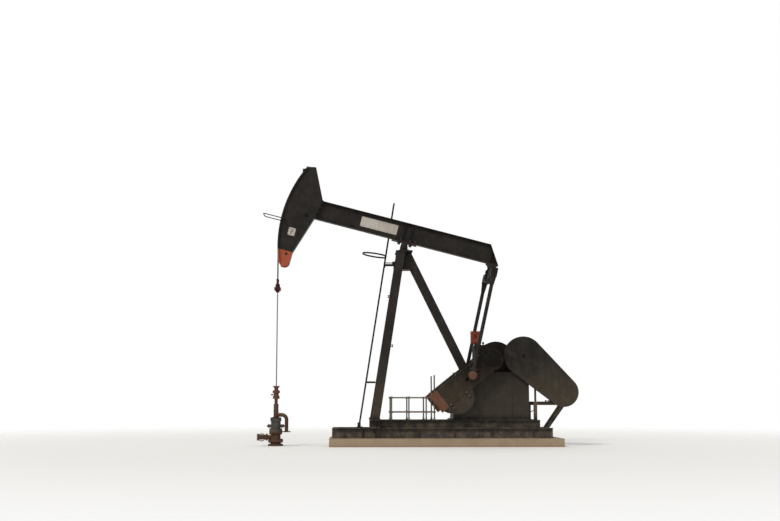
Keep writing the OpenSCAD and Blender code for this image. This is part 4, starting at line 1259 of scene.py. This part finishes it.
@dataclass
class PitmanGear(Assembly):
    """Equalizer, pitmans and wrist bearings.

    Attributes:
        arm_y: Middle of each pitman.
        length: Tail bearing to wrist pin.
    """

    body: Body = Body.PITMANS
    place: Matrix | None = LINKAGE.in_pitman
    arm_y: float = 1.1
    length: float = 3.45

    def build(self) -> None:
        """Dress the equalizer and pitmans and add their bolts, covers, keepers and collars."""
        dress(Paints.cast, "equalizer")
        dress(Paints.dark, "pitman_near", "pitman_far", "wrist_bearings")
        heads = []
        for side in SIDES:
            heads += grid((-0.07488, 0.07488), about(side * self.arm_y, 0.052), -0.3405, DOWN)
        self.bolts("pitman_head_bolts", heads, 0.022)
        spots = [((x, y, z), FRONT if x < 0 else REAR)
                 for x in (-0.1505, 0.1505) for z in (-0.33, -0.22, -0.11) for y in (-0.05, 0.05)]
        self.bolts("equalizer_bolts", spots, 0.022)
        covers, rims = [], []
        for side in SIDES:
            out, y = outward(side), side * (self.arm_y + 0.1)
            covers.append(boss((0, y, -self.length), out, [(0.128, 0.012), (0.1, 0.008), (0.035, 0.012)], 40))
            rims += circle_spots((0, y + side * 0.012, -self.length), out, 0.114, 6, 30)
        self.piece("wrist_covers", covers, Paints.grimy_orange)
        self.bolts("wrist_cover_bolts", rims, 0.010)
        tail, pin, pins = Assembly(Body.BEAM, LINKAGE.in_beam), (2.865, 0.153), []
        shape = [(0.062, 0.01), (0.03, 0.006)]
        keepers = [boss((pin[0], side * pin[1], 0), outward(side), shape, 28) for side in SIDES]
        for side in SIDES:
            pins += circle_spots((pin[0], side * (pin[1] + 0.01), 0), outward(side), 0.045, 4, 45)
        tail.piece("tail_pin_keepers", keepers, Paints.dark)
        tail.bolts("keeper_bolts", pins, 0.010)
        collars, ears = [], []
        for side in SIDES:
            y = side * self.arm_y
            collars.append(boss((0, y, -3.325), UP, [(0.072, 0.11)], 28))
            collars.append(slab((-0.115, 0.115), about(y, 0.02), (-3.305, -3.235)))
            ears += grid((-0.095, 0.095), (side * (self.arm_y + 0.02),), -3.27, outward(side))
        self.piece("pitman_collars", collars, Paints.dark)
        self.bolts("collar_bolts", ears, 0.018)


@dataclass
class CrankGear(Assembly):
    """Cranks, counterweights and crankshaft ends.

    Attributes:
        outer: Outer face of each crank.
        half: Half the width of a crank.
        reach: Crankshaft to the crank's tip.
        spare: Wrist pin holes that are not in use.
        weights: Ends of the counterweights along the crank.
        depth: Depth of a counterweight.
    """

    body: Body = Body.CRANKS
    place: Matrix | None = LINKAGE.in_crank
    outer: float = 0.960
    half: float = 0.320
    reach: float = 2.200
    spare: Flat = (0.606, 0.986)
    weights: Flat = (1.05, 2.05)
    depth: float = 0.430

    def build(self) -> None:
        """Dress the cranks and weights and add rims, racks, clamps, hubs and rings."""
        crank = tipped(Paints.cast, Paints.grimy_orange, LINKAGE.in_crank, FRONT, LINKAGE.shaft, 1.93,
                       name="crank_paint", dust=0.17, shine=0.06)
        dress(crank, "crank_near", "crank_far")
        dress(Paints.dark, "counterweights")
        dress(Paints.grease, "crankshaft")
        self.edges(crank)
        self.weight_lugs()
        self.hub_parts()

    def edges(self, crank: Finish) -> None:
        """Raised rims on each crank's outer face, and the toothed rack on its top edge.

        Args:
            crank: The cranks' finish.
        """
        rims, teeth = [], []
        for side in SIDES:
            y = side * (self.outer - 0.004)
            for z in (0.035 - self.half, self.half - 0.035):
                rims.append(slab((0.02 - self.reach, -0.3), about(y, 0.008), about(z, 0.03)))
            tip = (0.005 - self.reach, 0.06 - self.reach)
            rims.append(slab(tip, about(y, 0.0075), about(0, self.half - 0.02)))
            tooth = plate([(-0.014, -0.001), (0.014, -0.001), (0.007, 0.018), (-0.007, 0.018)], 0.05, 0.0015)
            places = [Matrix.Translation((-x / 1000, side * 0.88, self.half)) for x in range(1010, 2090, 36)]
            teeth += copies(tooth, places)
        self.piece("crank_rims", rims, crank)
        self.piece("crank_racks", teeth, Paints.dark)

    def weight_lugs(self) -> None:
        """Clamp lugs and studs of the counterweights, with a cast rib round each."""
        parts, spots = [], []
        mid, reach = sum(self.weights) / 2, (self.weights[1] - self.weights[0]) / 2
        radius = (reach ** 2 + self.depth ** 2) / (2 * self.depth)
        base, arc = radius - self.half - self.depth, radius - 0.05
        swing = asin((reach - 0.07) / arc)
        for side in SIDES:
            y = side * 0.98
            angles = [-swing + 2 * swing * step / 24 for step in range(25)]
            parts.append(rod([(-mid + arc * sin(a), y, base - arc * cos(a)) for a in angles], 0.016, 8))
            for x in (-mid - 0.3, -mid + 0.3):
                face, tall = y - 0.02 * side, (-self.half - 0.13, 0.075 - self.half)
                parts.append(slab(about(x, 0.055), (face - 0.02, face + 0.035), tall))
                out = y + side * (0.015 if side > 0 else 0.04)
                spots += [((x, out, z), outward(side)) for z in (-self.half - 0.09, 0.03 - self.half)]
        self.piece("weight_lugs", parts, Paints.dark)
        self.bolts("weight_studs", spots, 0.034, BoltStyle.STUD)

    def hub_parts(self) -> None:
        """Hub rings and keys round the crankshaft, its ends, and rings at the spare pin holes."""
        hubs, ends, sleeves = [], [], []
        for side in SIDES:
            out = outward(side)
            hubs.append(boss((0, side * self.outer, 0), out, [(0.23, 0.02), (0.2, 0.012)], 48))
            hubs.append(slab((0.085, 0.15), about(side * 0.985, 0.014), (-0.022, 0.022)))
            ends.append(boss((0, side * 1.0, 0), out, [(0.07, 0.006), (0.02, 0.004)], 28))
            sleeves += [ring((-x, side * (self.outer - 0.004), 0), FAR, 0.068, 0.008, 32) for x in self.spare]
        self.piece("crank_hubs", hubs, Paints.grease)
        self.piece("shaft_ends", ends, Paints.grease, Slot.STEEL)
        self.piece("pin_hole_rings", sleeves, Paints.dark)


@dataclass
class Gearbox(Assembly):
    """The gearbox on its pedestal, with the brake.

    Attributes:
        half: Half its width.
        split: Height of the split.
        foot: Top of its foot flange.
        slow_x: Slow shaft along X.
        pinion: High-speed shaft, in X and Z.
        pedestal: Heights of the pedestal's foot and of its top plate's underside.
    """

    half: float = 0.42
    split: float = 2.64
    foot: float = 2.292
    slow_x: float = 2.65
    pinion: Flat = (3.65, 2.75)
    pedestal: Flat = (0.825, 2.237)

    def build(self) -> None:
        """Dress the gearbox and pedestal and add caps, bolts, ribs and fittings."""
        dress(Paints.cast, "gearbox_housing", "gearbox_cover")
        dress(Paints.case, "pedestal")
        dress(Paints.worn_orange, "inspection_box")
        dress(Paints.iron, "brake_drum")
        self.flange_bolts()
        self.bearing_caps()
        self.cover_parts()
        self.pedestal_parts()
        self.box_lid()
        self.brake()

    def flange_bolts(self) -> None:
        """Bolts round the split and the foot."""
        spots = []
        for side in SIDES:
            y = side * (self.half - 0.013)
            for x in (2.2, 2.38, 2.92, 3.08, 3.24, 3.40, 3.79):
                spots += [((x, y, self.split + 0.025), UP), ((x, y, self.split - 0.025), DOWN)]
            spots += grid((2.2, 2.45, 2.85, 3.35, 3.75), (y,), self.foot, UP)
        spots += grid((2.175,), (-0.3, -0.1, 0.1, 0.3), self.split + 0.025, UP)
        self.bolts("gearbox_bolts", spots, 0.022)

    def bearing_caps(self) -> None:
        """Round bearing caps with bolts on the shafts: bored where a shaft comes out."""
        caps = [((self.slow_x, side * self.half, self.split), 0.2, 0.125, side) for side in SIDES]
        caps.append(((self.pinion[0], -self.half, self.pinion[1]), 0.105, 0.05, -1))
        caps += [((3.2, side * 0.39, self.split + 0.06), 0.13, 0.0, side) for side in SIDES]
        parts, spots = [], []
        for at, radius, bore, side in caps:
            thick, lip, narrow = (0.022, 0.01, 0.82) if bore else (0.03, 0.016, 0.7)
            cap = boss(at, outward(side), [(radius, thick), (radius * narrow, lip)], 48)
            if bore:
                bored(cap, (at[0], at[1] - side * 0.03, at[2]), outward(side), bore, 48)
            parts.append(cap)
            spots += circle_spots((at[0], at[1] + side * thick, at[2]), outward(side), radius * 0.9, 8, 22)
        self.piece("bearing_caps", parts, Paints.cast)
        self.bolts("bearing_cap_bolts", spots, 0.011)

    def cover_parts(self) -> None:
        """Inspection lid, breather, lifting lugs, ribs and oil gauge."""
        parts = [slab((2.36, 2.62), (-0.2, 0.2), (3.098, 3.114), 0.006),
                 boss((2.5, 0.05, 3.113), UP, [(0.018, 0.05), (0.036, 0.04), (0.028, 0.012)], 20)]
        lug = [(-0.06, -0.01), (0.06, -0.01), (0.045, 0.06), (0.015, 0.085), (-0.015, 0.085), (-0.045, 0.06)]
        for side in SIDES:
            for x in (2.27, 3.5):
                parts.append(plate(lug, 0.02, place=Matrix.Translation((x, side * 0.40, self.split + 0.03))))
        for side in SIDES:
            y = side * 0.404
            for x in (2.32, 2.5, 2.8, 3.36):
                parts.append(slab(about(x, 0.009), (y - 0.015, y + 0.011), (self.foot, self.split - 0.024), 0.002))
        self.piece("gearbox_fittings", parts, Paints.cast)
        self.bolts("lid_bolts", grid((2.385, 2.595), (-0.17, 0.0, 0.17), 3.114, UP), 0.013)
        gauge = [slab((2.21, 2.235), (-0.4095, -0.39), (2.42, 2.55)),
                 rod([(2.24, -0.39, 2.33), (2.24, -0.47, 2.33), (2.24, -0.47, 2.30)], 0.014, 12, 0.02)]
        self.piece("oil_gauge", gauge, Paints.bolt)

    def pedestal_parts(self) -> None:
        """Bolts round the pedestal's foot, gusset ribs and hatches on its sides."""
        spots = []
        for side in SIDES:
            spots += grid((1.46, 1.85, 2.3, 2.75, 3.2, 3.6, 3.85), (side * 0.63,), self.pedestal[0], UP)
        self.bolts("pedestal_bolts", spots, 0.024)
        parts, screws = [], []
        for side in SIDES:
            for x in (1.67, 2.0, 2.52, 3.04, 3.56):
                for z, up in zip(self.pedestal, (1, -1)):
                    rib = [(0, 0), (0.05 if up > 0 else 0.011, 0), (0.002, 0.1 * up), (0, 0.1 * up)]
                    place = Matrix.Translation((x, side * 0.5985, z)) @ turn("Z", radians(90 * side))
                    parts.append(plate(rib, 0.01, 0.001, place))
            parts.append(slab((2.12, 2.42), about(side * 0.589, 0.006), (1.15, 1.65), 0.004))
            screws += [((x, side * 0.595, z), outward(side)) for x in (2.145, 2.27, 2.395)
                       for z in (1.18, 1.4, 1.62) if (x, z) != (2.27, 1.4)]
        self.piece("pedestal_ribs", parts, Paints.case)
        self.bolts("hatch_bolts", screws, 0.010)

    def box_lid(self) -> None:
        """Lid with a round window, and roof of the orange box."""
        low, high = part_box("inspection_box")
        middle, y, z = (low.x + high.x) / 2, low.y, low.z + 0.06
        lid = slab((low.x + 0.012, high.x - 0.012), (y - 0.006, y + 0.002), (z + 0.012, high.z - 0.012))
        parts = [bored(lid, (middle, y + 0.03, z + 0.185), NEAR, 0.038, 28),
                 ring((middle, y - 0.006, z + 0.185), NEAR, 0.043, 0.006, 28),
                 slab((low.x - 0.008, high.x + 0.008), (y - 0.012, high.y + 0.008), about(high.z, 0.006))]
        self.piece("orange_box_lid", parts, Paints.worn_orange)

    def brake(self) -> None:
        """Brake band with its lugs, lever and rod down to the skid."""
        (x, z), y, far = self.pinion, 0.525, 0.66
        band = ring((x, y, z), FAR, 0.226, 0.006, 56)
        widen = Matrix.Diagonal((1, 6.0, 1, 1))
        band.data.transform(Matrix.Translation((0, y, 0)) @ widen @ Matrix.Translation((0, -y, 0)))
        parts = [band]
        parts += [slab((x + 0.215, x + 0.27), (0.5, 0.55), (z - 0.04 + dz, z - 0.028 + dz)) for dz in (0.0, 0.05)]
        out, low = x + 0.25, (x + 0.18, far, 0.95)
        parts.append(rod([(out, y, z - 0.08), (out, y, z + 0.06)], 0.008))
        parts.append(rod([(out, y, z - 0.06), (out, far, z - 0.35), low], 0.011, 10, 0.08))
        parts.append(rod([low, (x + 0.34, far, 1.0), (x + 0.62, far, 1.12)], 0.014, 10, 0.05))
        parts.append(slab((x + 0.15, x + 0.21), (0.63, 0.69), (0.80, 0.97)))
        self.piece("brake_band_and_lever", parts, Paints.iron)


@dataclass
class Drive(Assembly):
    """Belt guard, motor and its mount.

    Attributes:
        pinion: High-speed shaft, in X and Z.
        motor: Motor shaft, in X and Z.
        big: Radius of the guard's large end.
        small: Radius of the guard's small end.
        face: Outer face of the guard.
        back: Open side of the guard.
        platform: Top of the motor's platform.
    """

    pinion: Flat = (3.65, 2.75)
    motor: Flat = (4.876, 1.65)
    big: float = 0.600
    small: float = 0.456
    face: float = -0.740
    back: float = -0.610
    platform: float = 1.36

    def build(self) -> None:
        """Dress the drive and add guard seams, belts, motor fins and rails."""
        dress(Paints.guard, "belt_guard")
        dress(Paints.rubber, "belt_drive")
        dress(Paints.motor, "motor")
        dress(Paints.deck, "motor_mount")
        beads = [rod(self.loop(self.big, self.small, 0.006, self.face + 0.004, 24), 0.007, 8),
                 rod(self.loop(self.big, self.small, 0.004, self.back - 0.004, 24), 0.008, 8)]
        self.piece("guard_beads", beads, Paints.guard)
        self.guard_lid()
        belts = [rod(self.loop(self.big - 0.056, self.small - 0.236, 0.0, y, 28), 0.0075, 6)
                 for y in (-0.700, -0.680, -0.660, -0.640)]
        self.piece("v_belts", belts, Paints.rubber)
        self.motor_parts()
        self.slide_rails()

    def loop(self, big: float, small: float, inset: float, y: float, steps: int) -> list[Point]:
        """Closed line round both shafts, as a belt would lie.

        Args:
            big: Radius round the pinion shaft.
            small: Radius round the motor shaft.
            inset: Distance that it is drawn in.
            y: Place across the machine.
            steps: Steps on each round end.

        Returns:
            The closed loop of points.
        """
        span = Vector(self.motor) - Vector(self.pinion)
        slope, opened = atan2(span.y, span.x), acos((big - small) / span.length)
        points = []
        for (x, z), radius, start, end in ((self.pinion, big, slope + opened, slope + tau - opened),
                                           (self.motor, small, slope - opened, slope + opened)):
            angles = (start + (end - start) * step / steps for step in range(steps + 1))
            points += [(x + (radius - inset) * cos(a), y, z + (radius - inset) * sin(a)) for a in angles]
        return points + points[:1]

    def guard_lid(self) -> None:
        """Round hub lids, straps, plug and bolts on the guard's outer face."""
        parts, spots = [], []
        for (x, z), r in ((self.pinion, 0.115), (self.motor, 0.095)):
            parts.append(boss((x, self.face, z), NEAR, [(r, 0.006), (r - 0.02, 0.004)], 40, 0.002))
            spots += circle_spots((x, self.face - 0.006, z), NEAR, r - 0.012, 6, 15)
        run, rise = self.motor[0] - self.pinion[0], self.motor[1] - self.pinion[1]
        lean = atan2(rise, run)
        for share in (0.30, 0.62):
            x, z = self.pinion[0] + share * run, self.pinion[1] + share * rise
            reach = self.big + share * (self.small - self.big) - 0.012
            strap = slab((-0.022, 0.022), (-0.004, 0.004), (-reach, reach), 0.002)
            strap.data.transform(Matrix.Translation((x, self.face - 0.003, z)) @ turn("Y", -lean))
            parts.append(strap)
            for d in (step * reach for step in (-0.9, -0.45, 0.0, 0.45, 0.9)):
                spots.append(((x - d * sin(lean), self.face - 0.007, z + d * cos(lean)), NEAR))
        self.piece("guard_straps", parts, Paints.guard)
        at = (self.pinion[0], self.face - 0.0095, self.pinion[1])
        plug = boss(at, NEAR, [(0.05, 0.005), (0.042, 0.006)], 32, 0.002)
        self.piece("guard_plug", [plug], Paints.cast, Slot.DARK)
        self.bolts("guard_bolts", spots, 0.010)

    def motor_parts(self) -> None:
        """Cooling fins, fan cowl with slots, terminal box lid, bare rating plate and bolts."""
        x, z = self.motor
        angles = [a for a in range(0, 360, 9) if not (235 < a < 305 or 78 < a < 102)]
        places = [Matrix.Translation((x, 0, z)) @ turn("Y", radians(-a)) for a in angles]
        fin = slab((0.226, 0.252), (-0.255, 0.225), (-0.0035, 0.0035), 0.0015)
        self.piece("motor_fins", copies(fin, places), Paints.motor)
        parts = [boss((x, 0.328, z), FAR, [(0.219, 0.02), (0.205, 0.02), (0.17, 0.004)], 48)]
        parts += [ring((x, 0.373, z), FAR, radius, 0.004) for radius in (0.06, 0.09, 0.12, 0.15)]
        for a in range(0, 180, 30):
            c, s = 0.155 * cos(radians(a)), 0.155 * sin(radians(a))
            parts.append(rod([(x - c, 0.374, z - s), (x + c, 0.374, z + s)], 0.003, 6))
        parts.append(slab((x - 0.085, x + 0.095), (-0.125, 0.085), (z + 0.318, z + 0.332), 0.005))
        parts.append(slab(about(x, 0.03), (-0.345, -0.328), about(z, 0.03), 0.006))
        parts.append(ring((x - 0.13, 0.02, z + 0.222), FAR, 0.028, 0.009, 20))
        self.piece("motor_trim", parts, Paints.motor)
        self.bolts("terminal_bolts", grid((x - 0.075, x + 0.083), (-0.11, 0.07), z + 0.332, UP), 0.008)
        rating = slab((x - 0.262, x - 0.252), (-0.05, 0.05), (z + 0.02, z + 0.08), 0.002)
        self.piece("rating_plate", [rating], Paints.pipe)

    def slide_rails(self) -> None:
        """Feet, adjusting screws and their posts under the motor."""
        x, z = self.motor[0], self.platform
        parts, spots = [], []
        for y in (-0.26, 0.26):
            for foot in (x - 0.225, x + 0.225):
                parts.append(slab(about(foot, 0.045), about(y, 0.05), (z, z + 0.022)))
                spots.append(((foot, y, z + 0.022), UP))
            parts.append(rod([(x - 0.42, y, z + 0.02), (x - 0.24, y, z + 0.02)], 0.011))
            parts.append(slab((x - 0.40, x - 0.37), about(y, 0.02), (z - 0.002, z + 0.045)))
        self.piece("slide_feet", parts, Paints.deck)
        self.bolts("motor_foot_studs", spots, 0.02, BoltStyle.STUD)


@dataclass
class Access(Assembly):
    """Ladder and guard rails.

    Attributes:
        rail_y: Middle of the guard rails.
        posts: Posts along X, with the height of each.
        deck: Height of the posts' feet.
        ladder_y: Middle of the ladder.
        ladder_edge: From there to the outer face of its rails.
        ladder_foot: Foot of the ladder, in X and Z.
        ladder_lean: How far it leans, in degrees.
    """

    rail_y: float = 0.64
    posts: tuple[Flat, ...] = ((-0.41, 1.5), (0.12, 1.5), (0.65, 1.5), (0.90, 2.15))
    deck: float = 0.80
    ladder_y: float = 0.66
    ladder_edge: float = 0.2562
    ladder_foot: Flat = (-1.392, 0.572)
    ladder_lean: float = 8.8

    def build(self) -> None:
        """Dress the ladder and rails and add feet, clamps, caps and bolts."""
        dress(Paints.dark, "ladder", "ladder_hoop", "ladder_ties")
        dress(Paints.pipe, "guard_rails")
        sockets, clamps, screws, spots = [], [], [], []
        for side in SIDES:
            y = side * self.rail_y
            for x, top in self.posts:
                sockets.append(boss((x, y, self.deck), UP, [(0.042, 0.012), (0.03, 0.05)], 20))
                sockets.append(boss((x, y, top - 0.004), UP, [(0.0245, 0.012), (0.014, 0.004)], 16, 0.002))
                for z in (1.478, 1.04):
                    clamps.append(boss((x, y, z - 0.035), UP, [(0.027, 0.07)], 18))
                    clamps.append(boss((x - 0.045, y, z), REAR, [(0.0255, 0.09)], 18))
                    screws.append(((x, y + side * 0.026, z), outward(side)))
            spots += [((0.0, side * self.ladder_edge, z), outward(side)) for z in (0.09, 5.485, 7.1, 1.415, 5.18)]
        self.piece("post_sockets", sockets, Paints.pipe)
        self.piece("pipe_clamps", clamps, Paints.pipe)
        self.bolts("clamp_screws", screws, 0.009)
        foot, low = self.ladder_foot
        leaning = Matrix.Translation((foot, self.ladder_y, low)) @ turn("Y", radians(self.ladder_lean))
        Assembly(place=leaning).bolts("ladder_bolts", spots, 0.012)
        cleats = []
        for side in SIDES:
            for reach, half, tall in ((self.ladder_edge, 0.005, 0.128), (0.28, 0.03, 0.01)):
                y = about(self.ladder_y + side * reach, half)
                cleats.append(slab(about(foot + 0.002, 0.05), y, (low, low + tall)))
        self.piece("ladder_cleats", cleats, Paints.dark)
        tie = [slab((-0.350, -0.268), (0.365, 0.455), (5.655, 5.80), 0.006),
               rod([(-0.585, 0.41, 5.762), (-0.34, 0.41, 5.762)], 0.016)]
        self.piece("tie_clamp", tie, Paints.dark)


@dataclass
class Wellhead(Assembly):
    """Casing head, valves, tee and stuffing box over the well.

    Attributes:
        outlet: Height of the tubing head's outlets.
        tee: Height of the tee's outlet.
        valve: Side valve, from the well along X, and its height.
    """

    outlet: float = 0.61
    tee: float = 0.95
    valve: Flat = (-0.41, 0.27)

    def build(self) -> None:
        """Dress the wellhead and add studs, handwheel parts, plugs and glands."""
        dress(Paints.iron, "casing_head", "pumping_tee", "side_valve")
        dress(Paints.valve, "tubing_head")
        dress(Paints.box_red, "stuffing_box")
        self.flange_studs()
        self.handwheel()
        self.outlet_plugs()
        self.gland()

    def flange_studs(self) -> None:
        """Studs with nuts round the wellhead's flanges."""
        spots, face = [], []
        for radius, low, high in ((0.178, 0.38, 0.51), (0.2, 0.13, 0.19)):
            for (x, y, _), _ in circle_spots((WELL_X, 0, 0), UP, radius, 12, 15):
                spots += [((x, y, high), UP), ((x, y, low), DOWN)]
        spots += circle_spots((WELL_X, 0, 0.84), UP, 0.148, 8, 0)
        self.bolts("wellhead_studs", spots, 0.024, BoltStyle.STUD, Paints.iron)
        for x, way in ((-0.26, REAR), (-0.56, FRONT)):
            face += circle_spots((WELL_X + x, 0, self.valve[1]), way, 0.088, 8, 22)
        self.bolts("side_valve_studs", face, 0.016, BoltStyle.STUD, Paints.iron)

    def handwheel(self) -> None:
        """Spokes, hub and yoke of the side valve's handwheel."""
        x, z = WELL_X + self.valve[0], self.valve[1]
        parts = [boss((x, -0.262, z), NEAR, [(0.024, 0.03), (0.014, 0.01)], 16)]
        for a in (30, 90, 150):
            c, s = 0.108 * cos(radians(a)), 0.108 * sin(radians(a))
            parts.append(rod([(x - c, -0.270, z - s), (x + c, -0.270, z + s)], 0.008))
        parts.append(boss((x, -0.10, z), NEAR, [(0.062, 0.02), (0.05, 0.02), (0.03, 0.03)], 28))
        parts += [rod([(arm, -0.14, z), (arm, -0.225, z)], 0.006) for arm in about(x, 0.026)]
        self.piece("side_handwheel", parts, Paints.iron)

    def outlet_plugs(self) -> None:
        """Hexagon plugs on the tubing head and rings round the tee's unions."""
        plugs = []
        for side, way in ((1, REAR), (-1, FRONT)):
            plugs.append(boss((WELL_X + side * 0.21, 0, self.outlet), way, [(0.058, 0.03)], 28))
            plugs.append(boss((WELL_X + side * 0.24, 0, self.outlet), way, [(0.036, 0.02), (0.02, 0.018)], 6))
        self.piece("outlet_plugs", plugs, Paints.valve)
        unions = [boss((WELL_X, 0, z), UP, [(0.081, 0.03)], 32) for z in (1.05, 1.25)]
        unions += [boss((WELL_X + x, 0, self.tee), REAR, [(0.066, 0.022)], 28) for x in (0.09, 0.15)]
        self.piece("tee_unions", unions, Paints.iron)

    def gland(self) -> None:
        """Studs and winged nuts that press the stuffing box's packing, and its oiler."""
        spots = circle_spots((WELL_X, 0, 1.51), UP, 0.092, 6, 0) + circle_spots((WELL_X, 0, 1.69), UP, 0.1, 4, 45)
        self.bolts("gland_studs", spots, 0.016, BoltStyle.STUD)
        parts = []
        for side in (1, -1):
            inner, outer = (side * reach * cos(radians(45)) for reach in (0.08, 0.14))
            parts.append(rod([(WELL_X + inner, inner, 1.81), (WELL_X + outer, outer, 1.825)], 0.011))
        parts.append(boss((WELL_X - 0.078, 0, 1.57), FRONT, [(0.012, 0.03), (0.022, 0.05), (0.016, 0.008)], 16))
        self.piece("gland_wings", parts, Paints.box_red)


@dataclass
class Carrier(Assembly):
    """The bar between bridle and polished rod.

    Attributes:
        under: Underside of the bar.
        top: Top of the bar.
    """

    body: Body = Body.CARRIER
    under: float = 4.82
    top: float = 4.91

    def build(self) -> None:
        """Dress the carrier, hang its ropes and add sockets, clamp bolts and end plates."""
        dress(Paints.carrier, "carrier_bar", "rod_clamp")
        dress(Paints.bright, "polished_rod")
        high, low = LINKAGE.saddle.z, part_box("bridle_drop")[0].z
        heights = [high + (low - high) * step / 30 for step in range(31)]
        paths = [[(WELL_X, y, z) for z in heights] for y in (-ROPE_Y, ROPE_Y)]
        self.rope("bridle_hanging", paths, "bridle_drop", (WELL_X, 0.0, high), (WELL_X, 0.0, low))
        parts, ends = [], []
        for side in SIDES:
            for z, radius, tall in ((0.0, 0.042, 0.03), (0.12, 0.037, 0.02), (0.225, 0.037, 0.03)):
                parts.append(boss((WELL_X, side * ROPE_Y, self.top + z), UP, [(radius, tall)]))
            height = (self.under + 0.008, self.top - 0.008)
            parts.append(slab(about(WELL_X, 0.085), about(side * 0.165, 0.006), height))
            ends += grid(about(WELL_X, 0.06), (side * 0.171,), (self.under + self.top) / 2, outward(side))
        self.piece("rope_sockets", parts, Paints.carrier)
        spots = []
        for z in (self.top + 0.03, self.top + 0.08):
            for y in (-0.042, 0.042):
                spots += [((WELL_X - 0.06, y, z), FRONT), ((WELL_X + 0.06, y, z), REAR)]
        self.bolts("rod_clamp_bolts", spots + ends, 0.014)


def main() -> None:
    """Build the machine, sub-assembly by sub-assembly, and log the nodes without a finish."""
    bpy.context.scene.view_settings.view_transform = "Standard"
    logging.basicConfig(level=logging.INFO, format="%(message)s")
    for part in (Studio(), Foundation(), SamsonPost(), WalkingBeam(), HorseHead(), PitmanGear(), CrankGear(),
                 Gearbox(), Drive(), Access(), Wellhead(), Carrier()):
        LOG.info("building %s", type(part).__name__)
        part.build()
    bare = [name for name, node in frame["nodes"].items() if not set(node.data.materials) & set(MADE.values())]
    LOG.info("nodes without a finish: %s", bare)


if __name__ == "__main__":
    main()
